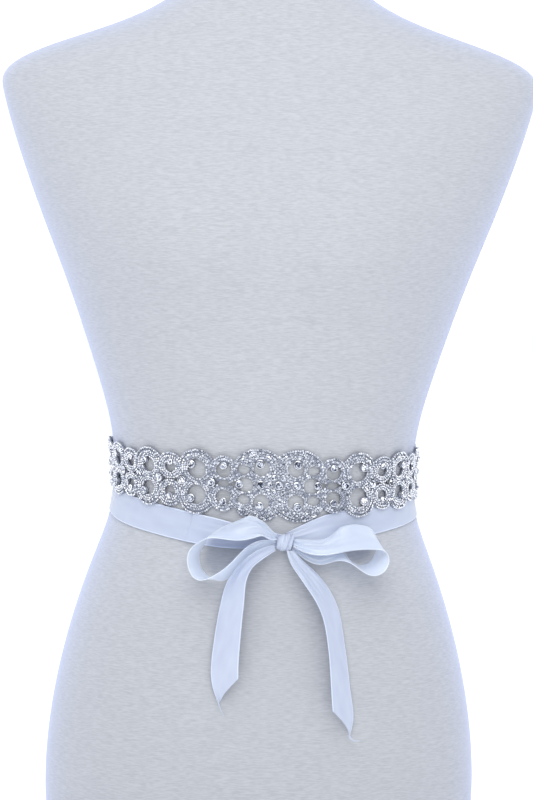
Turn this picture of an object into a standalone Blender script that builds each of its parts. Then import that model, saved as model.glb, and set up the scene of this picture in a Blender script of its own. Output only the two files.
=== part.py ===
# A rhinestone belt tied with a satin ribbon bow, worn on a limbless dress form.
# The form's flat base stands on Z = 0, its front faces -Y, and its centre line is the Z axis.
# Sizes are in millimetres, and each mesh is scaled to metres as it is made.

import math

import bmesh
import bpy
import numpy as np
from mathutils import Matrix, Vector
from mathutils.geometry import delaunay_2d_cdt

MM = 0.001

# Dress form: one row for each level, its half width, its depth in front of and behind the
# centre line, and how square its section is (2 is an ellipse).
FORM_COLUMNS = ("height", "half_width", "front", "back", "squareness")
FORM_LEVELS = (
    (0.0, 163.0, 88.0, 104.0, 2.25),
    (45.0, 165.6, 92.0, 113.0, 2.30),
    (95.0, 162.4, 95.0, 117.0, 2.30),
    (140.0, 154.4, 97.0, 112.0, 2.30),
    (185.0, 142.2, 96.5, 100.0, 2.25),
    (220.0, 130.0, 94.0, 89.0, 2.20),
    (250.0, 119.3, 90.5, 81.5, 2.20),
    (275.0, 114.8, 88.5, 78.0, 2.20),
    (300.0, 115.2, 88.0, 77.5, 2.20),
    (327.0, 119.4, 89.0, 79.0, 2.20),
    (360.0, 128.6, 92.0, 83.0, 2.25),
    (400.0, 141.8, 97.0, 89.0, 2.30),
    (440.0, 156.2, 102.0, 95.0, 2.40),
    (480.0, 171.8, 102.0, 99.0, 2.45),
    (520.0, 186.6, 94.0, 100.0, 2.45),
    (555.0, 198.0, 82.0, 97.0, 2.40),
    (575.0, 203.4, 73.0, 93.0, 2.30),
    (588.0, 203.6, 67.0, 89.5, 2.20),
    (600.0, 191.5, 62.0, 84.5, 2.15),
    (612.0, 164.4, 58.5, 78.0, 2.10),
    (624.0, 129.5, 56.0, 71.5, 2.05),
    (637.0, 97.5, 54.5, 65.0, 2.00),
    (650.0, 76.0, 53.5, 59.0, 2.00),
    (668.0, 59.5, 53.0, 52.5, 2.00),
    (690.0, 51.0, 53.5, 47.5, 2.00),
    (722.0, 49.5, 55.5, 45.0, 2.00),
)
FORM_HEIGHT = FORM_LEVELS[-1][0]
FORM_SIDES = 40
# Rings that carry the form's surface, closer together where it curves more.
FORM_RINGS = (
    30, 65, 100, 133, 163, 190, 213, 230, 242, 253, 263, 273, 283, 293, 303, 315,
    330, 348, 368, 390, 410, 428, 444, 459, 475, 494, 515, 536, 554, 568, 578, 586,
    593, 600, 607, 614, 622, 631, 643, 658, 676, 698,
)
# The soft rim of the base and of the neck top: distance from the end, and inset.
FORM_RIM = ((0.0, 3.0), (0.8, 1.05), (3.0, 0.0))
BUST = {"apart": 66.0, "height": 463.0, "rise": 14.0, "width": 56.0, "above": 66.0, "below": 44.0}

# Belt: how far its middle sits to the right of the form's, its height at the sides, how far it
# dips to the front, and how much lower its right side is worn than its middle.
BELT_SHIFT = 11.3
APPLIQUE_HEIGHT = 291.4
APPLIQUE_DIP = 7.0
APPLIQUE_TILT = 2.2
CLOTH = 1.0

# Applique: scalloped openwork, mirrored left to right, and top to bottom for each pair.
# A band rises from its edge to its ridge over the slope. A stone rises from its girdle to its
# table, and a small stone's table is lower.
EDGE_THICKNESS = 1.5
RIDGE_THICKNESS = 3.0
RIDGE_SLOPE = 2.0
RIDGE = {"out": 2.6, "points": 12, "room": 0.9, "apart": 3.0}
STONE_GIRDLE = 3.1
STONE_TABLE = 4.8
STONE_SIDES = 6
STONE_RIM = 0.03
SMALL_STONE = {"radius": 2.5, "lower": 0.8}
TABLE_SHARE = 0.55
# Scallops: along the belt, up from its middle line, half length and half height.
LOBES = (
    (14.5, 9.5, 20.0, 17.6),
    (40.5, 10.0, 10.3, 10.8),
    (60.5, 10.3, 14.0, 14.2),
    (81.5, 10.2, 10.5, 10.2),
    (100.5, 9.6, 12.8, 12.6),
    (119.0, 9.2, 9.8, 9.4),
    (137.0, 8.8, 12.0, 11.6),
    (155.0, 8.4, 9.4, 8.8),
    (172.0, 8.0, 11.4, 10.8),
    (189.0, 7.6, 9.0, 8.4),
    (205.0, 6.8, 10.8, 9.8),
    (217.0, 0.0, 9.6, 8.8),
)
# Openings: along, up, half length and half height.
OPENINGS = (
    (12.6, 12.4, 5.9, 5.6),
    (24.6, 0.0, 5.9, 5.7),
    (25.8, 11.2, 4.4, 3.5),
    (40.5, 9.9, 5.4, 5.5),
    (40.5, 0.0, 4.2, 2.4),
    (60.5, 9.6, 6.9, 7.1),
    (81.5, 9.6, 5.0, 5.0),
    (100.5, 9.0, 6.2, 6.4),
    (119.0, 8.8, 4.6, 4.6),
    (137.0, 8.4, 5.8, 5.8),
    (155.0, 8.0, 4.2, 4.2),
    (172.0, 7.6, 5.4, 5.2),
    (189.0, 7.2, 3.9, 3.9),
    (205.0, 6.4, 4.4, 4.2),
    (218.4, 0.0, 3.4, 3.2),
)
# Large stones: along, up and diameter.
STONES = (
    (0.0, 0.0, 6.0),
    (6.4, 0.0, 4.4),
    (3.4, 5.6, 4.4),
    (13.2, 0.0, 6.0),
    (13.8, 15.8, 6.2),
    (29.2, 0.0, 5.6),
    (40.5, 13.3, 5.2),
    (49.7, 0.0, 6.4),
    (64.8, 12.8, 6.0),
    (72.2, 0.0, 6.0),
    (81.5, 12.9, 4.6),
    (91.0, 0.0, 6.0),
    (104.6, 11.8, 5.6),
    (110.2, 0.0, 5.4),
    (119.0, 11.8, 4.4),
    (128.2, 0.0, 5.6),
    (140.7, 10.9, 5.2),
    (146.4, 0.0, 5.0),
    (155.0, 10.8, 4.0),
    (163.6, 0.0, 5.0),
    (175.4, 9.9, 4.8),
    (181.0, 0.0, 4.6),
    (189.0, 9.8, 3.8),
    (197.2, 0.0, 4.6),
    (207.9, 8.5, 4.2),
)

# The outlines as drawn: the step along a scallop, the points round a large and a small opening,
# how deep a line may run into another shape, and the angle of each kind's first point.
LOOP_STEP = 4.0
OPENING_POINTS = {"large": 10, "small": 8, "large_from": 4.5}
NEAR_CROSSING = 0.45
FIRST_ANGLE = {"lobe": 0.13, "opening": 0.2, "stone": 0.26, "ridge": 0.46}

# How far the applique's back stands off the form: over bare form, over one ribbon, over two.
LIFTS = {"along": (0, 24, 35, 180, 202, 240), "lift": (0.5, 0.5, 1.8, 1.8, 3.3, 3.3)}

# Ribbon wraps: from under one end of the applique, across the back, and forward on the other
# side to the knot. Turn is counted in degrees from the front centre, towards the wrap's side.
WRAP_LAP = 9.0
WRAP_SECTIONS = {"round": 38, "front": 9, "front_from": 32.0}
WRAP_SHARES = (-1.0, -0.5, 0.0, 0.5, 1.0)
WRAP_COLUMNS = ("turn", "height", "width", "lift", "fold")
WRAP_LEFT = (
    (250.0, 296.4, 22.0, 0.4, 0.0),
    (232.0, 295.2, 22.0, 0.4, 0.0),
    (205.0, 290.0, 22.0, 0.4, 0.0),
    (180.0, 284.5, 22.0, 0.4, 0.0),
    (150.0, 277.5, 22.0, 0.4, 0.0),
    (120.0, 271.8, 22.0, 0.4, 0.0),
    (90.0, 267.3, 22.0, 0.4, 0.0),
    (65.0, 260.6, 22.0, 0.4, 0.0),
    (42.0, 255.0, 22.0, 0.4, 0.0),
    (25.0, 251.0, 22.0, 0.4, 0.1),
    (12.0, 247.0, 19.6, 0.5, 0.4),
    (4.0, 245.0, 15.0, 0.6, 0.5),
    (-4.4, 244.0, 10.0, 0.5, 0.3),
    (-7.0, 243.8, 8.5, 0.4, 0.2),
)
WRAP_RIGHT = (
    (250.0, 296.4, 22.0, 1.8, 0.0),
    (238.0, 295.6, 22.0, 1.8, 0.0),
    (205.0, 290.0, 22.0, 1.8, 0.0),
    (180.0, 284.5, 22.0, 1.8, 0.0),
    (150.0, 277.5, 22.0, 1.8, 0.0),
    (130.0, 273.5, 22.0, 1.8, 0.0),
    (110.0, 270.2, 22.0, 0.4, 0.0),
    (90.0, 267.3, 22.0, 0.4, 0.0),
    (65.0, 263.2, 22.0, 0.4, 0.0),
    (46.0, 259.0, 22.0, 0.4, 0.0),
    (30.0, 254.8, 21.6, 0.4, 0.0),
    (20.0, 251.2, 18.4, 0.4, 0.3),
    (12.0, 246.8, 12.4, 0.6, 0.4),
    (8.4, 244.8, 9.0, 0.4, 0.2),
)

# Bow: each row is one section across the ribbon. x and z are counted from the bow's middle,
# off is the distance in front of the form, run_x and run_z are how far the section runs from
# its far edge to its near edge as seen from the front, and width is the ribbon's gathered width.
BOW_MIDDLE = (14.8, 245.5)
BOW_LEAN = 1.3
BOW_SHARES = 6
BOW_SECTIONS = {"loop": 30, "tail": 17}
KNOT = {
    "x": 1.9, "z": -2.2, "off": 8.2, "half_length": 5.6, "half_height": 6.7, "half_depth": 5.6,
    "slant": 0.22, "taper": 0.24, "crease": 0.07, "sides": 20, "stations": 11,
}
BOW_COLUMNS = ("x", "z", "off", "run_x", "run_z", "width", "fold")
LOOP_LEFT = (
    (-4.0, 1.4, 8.6, 0.0, -3.2, 4.6, 0.4),
    (-8.8, 3.8, 10.0, 0.0, -7.2, 9.0, 0.7),
    (-13.8, 7.7, 11.6, -1.0, -9.2, 12.0, 0.9),
    (-19.8, 9.2, 12.8, -0.6, -13.8, 17.0, 0.8),
    (-25.4, 9.2, 13.8, -3.4, -16.8, 20.6, 0.5),
    (-33.8, 7.9, 14.6, -5.6, -13.8, 21.6, 0.2),
    (-42.2, 6.8, 15.2, -5.6, -8.8, 22.0, 0.1),
    (-50.4, 4.9, 15.8, -5.3, -3.8, 22.0, 0.0),
    (-57.4, 0.9, 16.4, -7.6, -1.6, 22.0, 0.0),
    (-63.2, -5.3, 17.0, -10.4, -2.2, 22.0, 0.0),
    (-65.7, -12.3, 17.4, -8.6, -2.8, 22.0, 0.0),
    (-64.5, -20.3, 17.2, -7.0, -3.2, 22.0, 0.0),
    (-61.0, -25.6, 16.8, -6.4, -2.0, 22.0, 0.0),
    (-55.6, -28.2, 16.2, -6.0, 1.2, 22.0, 0.0),
    (-49.0, -27.6, 15.4, -4.4, 6.2, 22.0, 0.0),
    (-41.7, -24.4, 13.4, -1.6, 10.8, 22.0, 0.0),
    (-35.0, -18.6, 11.6, 0.4, 13.2, 22.0, 0.1),
    (-28.2, -12.4, 9.8, 0.0, 13.2, 18.5, 0.2),
    (-22.0, -7.8, 8.3, -0.4, 11.4, 14.4, 0.3),
    (-15.3, -4.4, 7.3, 0.0, 8.6, 10.6, 0.4),
    (-9.6, -2.4, 6.8, 0.0, 4.4, 6.4, 0.3),
    (-4.7, -1.9, 6.6, 0.0, 2.4, 4.4, 0.2),
)
LOOP_RIGHT = (
    (8.2, -2.3, 8.8, -1.2, -5.4, 7.2, 0.4),
    (13.4, -4.2, 9.8, -0.6, -8.0, 10.0, 0.9),
    (20.0, -5.5, 11.2, 0.2, -9.8, 13.6, 1.0),
    (27.0, -6.1, 12.4, 0.2, -10.2, 16.0, 0.9),
    (33.0, -5.2, 13.2, 0.6, -11.4, 19.0, 0.7),
    (38.6, -3.0, 13.8, 1.6, -14.2, 22.0, 0.4),
    (44.6, -0.7, 14.4, 2.6, -16.8, 22.0, 0.2),
    (52.4, 0.4, 15.0, 2.4, -17.8, 22.0, 0.1),
    (60.4, 0.0, 15.6, 2.8, -16.6, 22.0, 0.0),
    (67.4, -1.7, 16.2, 3.4, -13.8, 22.0, 0.0),
    (72.4, -5.4, 16.8, 5.2, -8.4, 22.0, 0.0),
    (74.4, -10.9, 17.2, 8.0, -4.0, 22.0, 0.0),
    (73.8, -16.0, 17.4, 10.0, -3.0, 22.0, 0.0),
    (71.2, -20.6, 17.2, 11.0, -3.8, 22.0, 0.0),
    (66.6, -23.6, 16.6, 10.6, -5.0, 22.0, 0.0),
    (61.2, -24.0, 16.0, 8.6, -5.2, 22.0, 0.0),
    (56.0, -21.4, 15.0, 5.0, -3.2, 22.0, 0.0),
    (50.6, -17.4, 13.8, 2.6, -1.8, 20.0, 0.0),
    (45.0, -14.6, 12.0, 0.8, -2.6, 17.0, 0.1),
    (38.6, -14.0, 10.2, 0.0, -4.6, 13.0, 0.3),
    (31.0, -15.2, 8.8, 0.0, -7.0, 11.0, 0.4),
    (23.4, -14.4, 7.6, 0.0, -7.8, 8.8, 0.4),
    (16.0, -11.4, 6.6, 0.0, -6.4, 7.0, 0.3),
    (7.6, -5.8, 6.4, -0.6, -3.2, 4.0, 0.2),
)
TAIL_LEFT = (
    (-5.5, -6.0, 8.8, 0.6, -4.2, 5.6, 0.2),
    (-10.6, -7.8, 10.6, 2.8, -4.2, 8.4, 0.5),
    (-18.4, -11.8, 12.6, 5.8, -3.6, 11.6, 0.7),
    (-25.9, -17.6, 14.6, 9.0, -0.8, 14.0, 0.6),
    (-31.1, -24.2, 14.8, 12.2, 1.4, 16.4, 0.4),
    (-34.4, -31.5, 13.9, 14.6, 2.8, 18.6, 0.2),
    (-36.8, -42.9, 12.2, 17.0, 3.6, 20.6, 0.1),
    (-39.5, -59.8, 10.4, 18.8, 3.5, 22.0, 0.0),
    (-41.7, -77.0, 9.2, 19.8, 2.9, 22.0, 0.0),
    (-43.3, -94.1, 8.2, 20.4, 2.2, 22.0, 0.0),
    (-43.0, -108.0, 7.6, 19.4, 1.6, 21.4, 0.0),
    (-40.8, -122.6, 7.4, 14.4, 1.0, 16.6, 0.0),
)
TAIL_RIGHT = (
    (5.9, -8.2, 9.8, -5.4, 0.0, 6.2, 0.2),
    (9.8, -15.4, 11.4, -8.6, -1.4, 9.8, 0.5),
    (16.4, -23.6, 12.2, -10.0, -4.2, 13.0, 0.6),
    (24.4, -33.8, 12.2, -11.6, -4.6, 18.0, 0.4),
    (31.6, -45.5, 12.4, -12.0, -3.8, 20.6, 0.2),
    (36.1, -58.0, 12.2, -12.0, -2.8, 22.0, 0.0),
    (38.5, -72.0, 12.0, -12.0, -1.9, 22.0, 0.0),
    (40.6, -89.0, 11.6, -12.7, -1.6, 22.0, 0.0),
    (42.0, -106.0, 11.2, -13.6, -1.5, 22.0, 0.0),
    (43.6, -123.5, 10.6, -14.8, -1.4, 22.0, 0.0),
    (44.6, -137.0, 10.3, -14.4, -1.0, 21.0, 0.0),
    (43.8, -148.4, 10.2, -10.4, -0.6, 16.0, 0.0),
)
# Each tail is cut at a slant, so that its near edge is this share of its length shorter.
CUT_LEFT = 0.15
CUT_RIGHT = 0.15


def table(columns, rows):
    """A short table as one array for each named column."""
    return {name: np.array([row[i] for row in rows], float) for i, name in enumerate(columns)}


def smooth_curve(knots, values):
    """The natural cubic spline through the values, as a function."""
    x, y = np.asarray(knots, float), np.asarray(values, float)
    gap = np.diff(x)
    rise = np.diff(y) / gap
    count = len(x)
    system = np.eye(count)
    right = np.zeros(count)
    for i in range(1, count - 1):
        system[i, i - 1 : i + 2] = gap[i - 1], 2 * (gap[i - 1] + gap[i]), gap[i]
        right[i] = 6 * (rise[i] - rise[i - 1])
    bend = np.linalg.solve(system, right)

    def value(at):
        at = np.clip(np.asarray(at, float), x[0], x[-1])
        i = np.clip(np.searchsorted(x, at) - 1, 0, count - 2)
        left, over = x[i + 1] - at, at - x[i]
        cubic = (bend[i] * left**3 + bend[i + 1] * over**3) / (6 * gap[i])
        line_left = (y[i] / gap[i] - bend[i] * gap[i] / 6) * left
        line_over = (y[i + 1] / gap[i] - bend[i + 1] * gap[i] / 6) * over
        return cubic + line_left + line_over

    return value


FORM = table(FORM_COLUMNS, FORM_LEVELS)
FORM_CURVES = {name: smooth_curve(FORM["height"], FORM[name]) for name in FORM_COLUMNS[1:]}


def bust_rise(x, height):
    """How far the bust stands out of the plain section."""
    reach = BUST["above"] if height > BUST["height"] else BUST["below"]
    across = (abs(x) - BUST["apart"]) / BUST["width"]
    upright = (height - BUST["height"]) / reach
    return BUST["rise"] * math.exp(-across * across - upright * upright)


def form_point(turn, height, inset=0.0):
    """A point on the form. Turn is in radians from the front centre, towards +X."""
    half = float(FORM_CURVES["half_width"](height)) - inset
    depth = float(FORM_CURVES["front" if math.cos(turn) > 0 else "back"](height)) - inset
    power = float(FORM_CURVES["squareness"](height))
    angle = math.atan2(half * math.sin(turn), depth * math.cos(turn))
    share = (abs(math.sin(angle)) / half) ** power + (abs(math.cos(angle)) / depth) ** power
    reach = share ** (-1 / power)
    x, y = reach * math.sin(angle), -reach * math.cos(angle)
    if y < 0:
        y -= bust_rise(x, height) * min(1.0, -y / 60)
    return Vector((x, y, height))


def off_form(turn, height, off):
    """A point that stands off the form by a given distance, square to its surface."""
    step = 0.002
    here = form_point(turn, height)
    round_it = form_point(turn + step, height) - form_point(turn - step, height)
    up_it = form_point(turn, height + 0.5) - form_point(turn, height - 0.5)
    return here + round_it.cross(up_it).normalized() * off


def front_of_form(x, height):
    """The form's surface seen from the front: its Y at a given X."""
    half = float(FORM_CURVES["half_width"](height))
    turn = math.asin(max(-1.0, min(1.0, x / half)))
    for _ in range(12):
        miss = x - form_point(turn, height).x
        turn += miss / half
    return form_point(turn, height).y


def applique_line(turn):
    return APPLIQUE_HEIGHT - APPLIQUE_DIP * math.cos(turn) - APPLIQUE_TILT * math.sin(turn)


def arc_lengths(line, steps=720):
    """Turns from back to back, and the length along the form from the front centre to each."""
    turns = np.linspace(-math.pi, math.pi, steps + 1)
    points = [form_point(t, line(t)) for t in turns]
    gaps = [(b - a).length for a, b in zip(points, points[1:])]
    run = np.concatenate([[0.0], np.cumsum(gaps)])
    return turns, run - np.interp(0.0, turns, run)


APPLIQUE_TURNS, APPLIQUE_RUNS = arc_lengths(applique_line)


def turn_along(along):
    """The turn at a length along the applique's middle line, from the belt's own middle."""
    return float(np.interp(along + BELT_SHIFT, APPLIQUE_RUNS, APPLIQUE_TURNS))


def on_belt(along, up, off):
    turn = turn_along(along)
    lift = float(np.interp(abs(along), LIFTS["along"], LIFTS["lift"]))
    return off_form(turn, applique_line(turn) + up, lift + off)


def add_solid(name, points, faces, material, sharp=35):
    """One closed mesh object. Points are in millimetres."""
    mesh = bpy.data.meshes.new(name)
    mesh.from_pydata([tuple(p) for p in points], [], [tuple(f) for f in faces])
    mesh.transform(Matrix.Scale(MM, 4))
    work = bmesh.new()
    work.from_mesh(mesh)
    bmesh.ops.recalc_face_normals(work, faces=work.faces)
    work.to_mesh(mesh)
    work.free()
    mesh.materials.append(material)
    mesh.shade_smooth()
    mesh.set_sharp_from_angle(angle=math.radians(sharp))
    obj = bpy.data.objects.new(name, mesh)
    bpy.context.scene.collection.objects.link(obj)
    return obj


def add_material(name, colour, roughness, metallic=0.0):
    material = bpy.data.materials.new(name)
    material.use_nodes = True
    shader = material.node_tree.nodes["Principled BSDF"]
    shader.inputs["Base Color"].default_value = (*colour, 1.0)
    shader.inputs["Roughness"].default_value = roughness
    shader.inputs["Metallic"].default_value = metallic
    return material


def make_dress_form(material):
    """The whole form as stacked rings, with a flat base, a flat neck top and softened rims."""
    levels = list(FORM_RIM) + [(float(height), 0.0) for height in FORM_RINGS]
    levels += [(FORM_HEIGHT - height, inset) for height, inset in reversed(FORM_RIM)]
    points, faces = [], []
    for height, inset in levels:
        for i in range(FORM_SIDES):
            points.append(form_point(2 * math.pi * i / FORM_SIDES, height, inset))
    for row in range(len(levels) - 1):
        for i in range(FORM_SIDES):
            a, b = row * FORM_SIDES + i, row * FORM_SIDES + (i + 1) % FORM_SIDES
            faces.append((a, b, b + FORM_SIDES, a + FORM_SIDES))
    faces.append(tuple(reversed(range(FORM_SIDES))))
    faces.append(tuple(range(len(points) - FORM_SIDES, len(points))))
    return add_solid("dress_form", points, faces, material)


def mirrored(rows):
    """Each row with its copies: left to right, and top to bottom unless it is on the middle line."""
    copies = []
    for along, up, *sizes in rows:
        for side in (1, -1) if along else (1,):
            for half in (1, -1) if up else (1,):
                copies.append((side * along, half * up, *sizes))
    return copies


LOBE_SET = mirrored(LOBES)
OPENING_SET = mirrored(OPENINGS)
STONE_SET = [(s, h, d / 2, d / 2) for s, h, d in mirrored(STONES)]


def depth_in(oval, along, up):
    """Roughly how far a point lies inside an oval, in millimetres. It is negative outside."""
    s, h, a, b = oval
    return (1 - math.hypot((along - s) / a, (up - h) / b)) * min(a, b)


def deepest(ovals, along, up):
    return max(depth_in(oval, along, up) for oval in ovals)


def in_applique(along, up):
    """Whether the applique has material at a point of its flat pattern."""
    if deepest(STONE_SET, along, up) > 0:
        return True
    return deepest(LOBE_SET, along, up) > 0 and deepest(OPENING_SET, along, up) < 0


def relief(along, up):
    """The applique's thickness at a point: thin edges, ridged bands and raised stones."""
    band = min(deepest(LOBE_SET, along, up), -deepest(OPENING_SET, along, up))
    share = max(0.0, min(1.0, band / RIDGE_SLOPE))
    height = EDGE_THICKNESS + (RIDGE_THICKNESS - EDGE_THICKNESS) * math.sin(share * math.pi / 2)
    for s, h, radius, _ in STONE_SET:
        out = math.hypot(along - s, up - h) / radius
        if out < 1.1 * TABLE_SHARE:
            height = STONE_TABLE - (0.0 if radius > SMALL_STONE["radius"] else SMALL_STONE["lower"])
        elif out < 1 + STONE_RIM:
            height = max(height, STONE_GIRDLE)
    return height


def oval_points(oval, count, share=1.0, start=0.0):
    s, h, a, b = oval
    angles = [start + 2 * math.pi * i / count for i in range(count)]
    return [(s + share * a * math.cos(t), h + share * b * math.sin(t)) for t in angles]


def outline_loops():
    """The lines that bound the openwork, without what lies inside another shape."""
    points, edges = [], []

    def add_loop(loop, keep):
        kept = [keep(*p) for p in loop]
        numbers = {}
        for i, p in enumerate(loop):
            if kept[i] or kept[i - 1] or kept[(i + 1) % len(loop)]:
                numbers[i] = len(points)
                points.append(p)
        for i in numbers:
            after = (i + 1) % len(loop)
            if after in numbers and (kept[i] or kept[after]):
                edges.append((numbers[i], numbers[after]))

    for oval in LOBE_SET:
        others = [o for o in LOBE_SET if o != oval]
        count = max(12, round(2 * math.pi * max(oval[2:]) / LOOP_STEP))
        loop = oval_points(oval, count, start=FIRST_ANGLE["lobe"])
        add_loop(loop, lambda s, h: deepest(others, s, h) < NEAR_CROSSING)
    for oval in OPENING_SET:
        large = min(oval[2:]) > OPENING_POINTS["large_from"]
        loop = oval_points(oval, OPENING_POINTS["large" if large else "small"], start=FIRST_ANGLE["opening"])
        add_loop(loop, lambda s, h: deepest(STONE_SET, s, h) < NEAR_CROSSING)
    for oval in STONE_SET:
        add_loop(oval_points(oval, STONE_SIDES, start=FIRST_ANGLE["stone"]), lambda s, h: True)
    return points, edges


def ridge_points():
    """Points on the beaded ridges between the outlines, where the bands are thickest."""
    points = []
    for oval in OPENING_SET:
        larger = (*oval[:2], oval[2] + RIDGE["out"], oval[3] + RIDGE["out"])
        for s, h in oval_points(larger, RIDGE["points"], start=FIRST_ANGLE["ridge"]):
            roomy = min(deepest(LOBE_SET, s, h), -deepest(OPENING_SET, s, h)) > RIDGE["room"]
            clear = deepest(STONE_SET, s, h) < -RIDGE["room"]
            apart = all(math.hypot(s - p, h - q) > RIDGE["apart"] for p, q in points)
            if roomy and clear and apart:
                points.append((s, h))
    return points


def rim_of(faces):
    """The directed edges that only one triangle uses."""
    used = {(f[i], f[(i + 1) % 3]) for f in faces for i in range(3)}
    return sorted((a, b) for a, b in used if (b, a) not in used)


def fans_at(corner, faces):
    """The triangles at a corner, in groups that are joined edge to edge."""
    around = [f for f in faces if corner in f]
    groups = []
    while around:
        group = [around.pop()]
        for member in group:
            joined = [f for f in around if len(set(f) & set(member)) == 2]
            around = [f for f in around if f not in joined]
            group += joined
        groups.append(group)
    return groups


def without_pinches(corners, faces):
    """The triangles without the small ones that touch the rest at one corner only."""
    def area(face):
        a, b, c = (corners[i] for i in face)
        return abs((b - a).cross(c - a))

    while True:
        starts = [a for a, b in rim_of(faces)]
        pinched = sorted({a for a in starts if starts.count(a) > 1})
        if not pinched:
            return faces
        for corner in pinched:
            groups = sorted(fans_at(corner, faces), key=lambda group: sum(area(f) for f in group))
            for group in groups[:-1]:
                faces = [f for f in faces if f not in group]


def triangulate(points, edges):
    """The openwork's triangles over the given points, without those that lie in a gap."""
    found = delaunay_2d_cdt([Vector(p) for p in points], edges, [], 0, 0.02)
    corners, faces = found[0], found[2]
    kept = []
    for face in faces:
        middle = sum((corners[i] for i in face), Vector((0, 0))) / 3
        if in_applique(middle.x, middle.y):
            kept.append(tuple(face))
    kept = without_pinches(corners, kept)
    used = sorted({i for face in kept for i in face})
    place = {number: i for i, number in enumerate(used)}
    return [corners[i] for i in used], [tuple(place[i] for i in face) for face in kept]


def fill_rim(points, rim):
    """Triangles over the given points that fill the inside of a directed rim."""
    found = delaunay_2d_cdt([Vector(p) for p in points], rim, [], 0, 0.0001)
    source = [numbers[0] for numbers in found[3]]
    faces = [tuple(source[i] for i in face) for face in found[2]]
    owner = {(f[i], f[(i + 1) % 3]): f for f in faces for i in range(3)}
    inside = {owner[edge] for edge in rim}
    waiting = list(inside)
    for face in waiting:
        for edge in ((face[i], face[(i + 1) % 3]) for i in range(3)):
            beyond = owner.get(edge[::-1])
            if edge not in owner or edge in rim or beyond is None or beyond in inside:
                continue
            inside.add(beyond)
            waiting.append(beyond)
    return sorted(inside)


def make_applique(material):
    """Openwork from its flat pattern: a ridged face with raised stones, a plain back and sides."""
    points, edges = outline_loops()
    tables = []
    for oval in STONE_SET:
        tables += oval_points(oval, STONE_SIDES, TABLE_SHARE, FIRST_ANGLE["stone"])
    corners, faces = triangulate(points + ridge_points() + tables, edges)
    rim = rim_of(faces)

    # The back shares the rim, and has one point under each stone so that it follows the curve.
    rim_numbers = sorted({i for edge in rim for i in edge})
    place = {number: i for i, number in enumerate(rim_numbers)}
    back = [tuple(corners[i]) for i in rim_numbers]
    for s, h, _, _ in STONE_SET:
        if min(math.hypot(s - p, h - q) for p, q in back) > 1.2:
            back.append((s, h))
    back_faces = fill_rim(back, [(place[a], place[b]) for a, b in rim])

    solid = [on_belt(c.x, c.y, relief(c.x, c.y)) for c in corners]
    shift = len(solid)
    solid += [on_belt(s, h, 0.0) for s, h in back]
    solid_faces = faces + [tuple(shift + i for i in reversed(f)) for f in back_faces]
    solid_faces += [(b, a, shift + place[a], shift + place[b]) for a, b in rim]
    return add_solid("applique", solid, solid_faces, material, sharp=50)


def wall(rows, thickness):
    """Points and faces of a cloth wall around a grid of middle points, a row for each section."""
    grid = np.array([[tuple(p) for p in row] for row in rows])
    along = np.gradient(grid, axis=0)
    across = np.gradient(grid, axis=1)
    normal = np.cross(along, across)
    normal /= np.linalg.norm(normal, axis=2, keepdims=True)
    faces_out = grid + normal * thickness / 2
    faces_in = grid - normal * thickness / 2
    count, wide = grid.shape[:2]
    points = [tuple(p) for p in np.concatenate([faces_out.reshape(-1, 3), faces_in.reshape(-1, 3)])]
    half = count * wide
    faces = []
    for i in range(count - 1):
        for j in range(wide - 1):
            a, b = i * wide + j, i * wide + j + 1
            faces.append((a, b, b + wide, a + wide))
            faces.append((a + half, a + wide + half, b + wide + half, b + half))
        left, right = i * wide, i * wide + wide - 1
        faces.append((left, left + wide, left + wide + half, left + half))
        faces.append((right, right + half, right + wide + half, right + wide))
    for j in range(wide - 1):
        last = (count - 1) * wide
        faces.append((j, j + half, j + 1 + half, j + 1))
        faces.append((last + j, last + j + 1, last + j + 1 + half, last + j + half))
    return points, faces


def gather(share, fold):
    """The depth of the gathers across a ribbon, for a share from -1 to 1 of its half width."""
    return fold * math.cos(1.6 * math.pi * share)


def make_wrap(name, side, rows, material):
    """One ribbon wrap, on the form's surface. Side is 1 for the wrap that shows on the right."""
    data = table(WRAP_COLUMNS, rows)
    order = np.argsort(data["turn"])
    curves = {c: smooth_curve(data["turn"][order], data[c][order]) for c in ("height", "width")}
    end_turn = math.degrees(turn_along(-side * (LOBES[-1][0] + LOBES[-1][2] - WRAP_LAP)))
    start, stop = 360 - abs(end_turn), float(data["turn"].min())
    round_it = np.linspace(start, WRAP_SECTIONS["front_from"], WRAP_SECTIONS["round"])
    front = np.linspace(WRAP_SECTIONS["front_from"], stop, WRAP_SECTIONS["front"] + 1)[1:]
    turns = np.concatenate([round_it, front])
    sections = []
    for turn in turns:
        lift = np.interp(turn, data["turn"][order], data["lift"][order])
        fold = np.interp(turn, data["turn"][order], data["fold"][order])
        half = float(curves["width"](turn)) / 2
        sections.append([
            off_form(
                side * math.radians(turn),
                float(curves["height"](turn)) + half * share,
                lift + CLOTH / 2 + fold + gather(share, fold),
            )
            for share in WRAP_SHARES
        ])
    return add_solid(name, *wall(sections, CLOTH), material)


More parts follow.
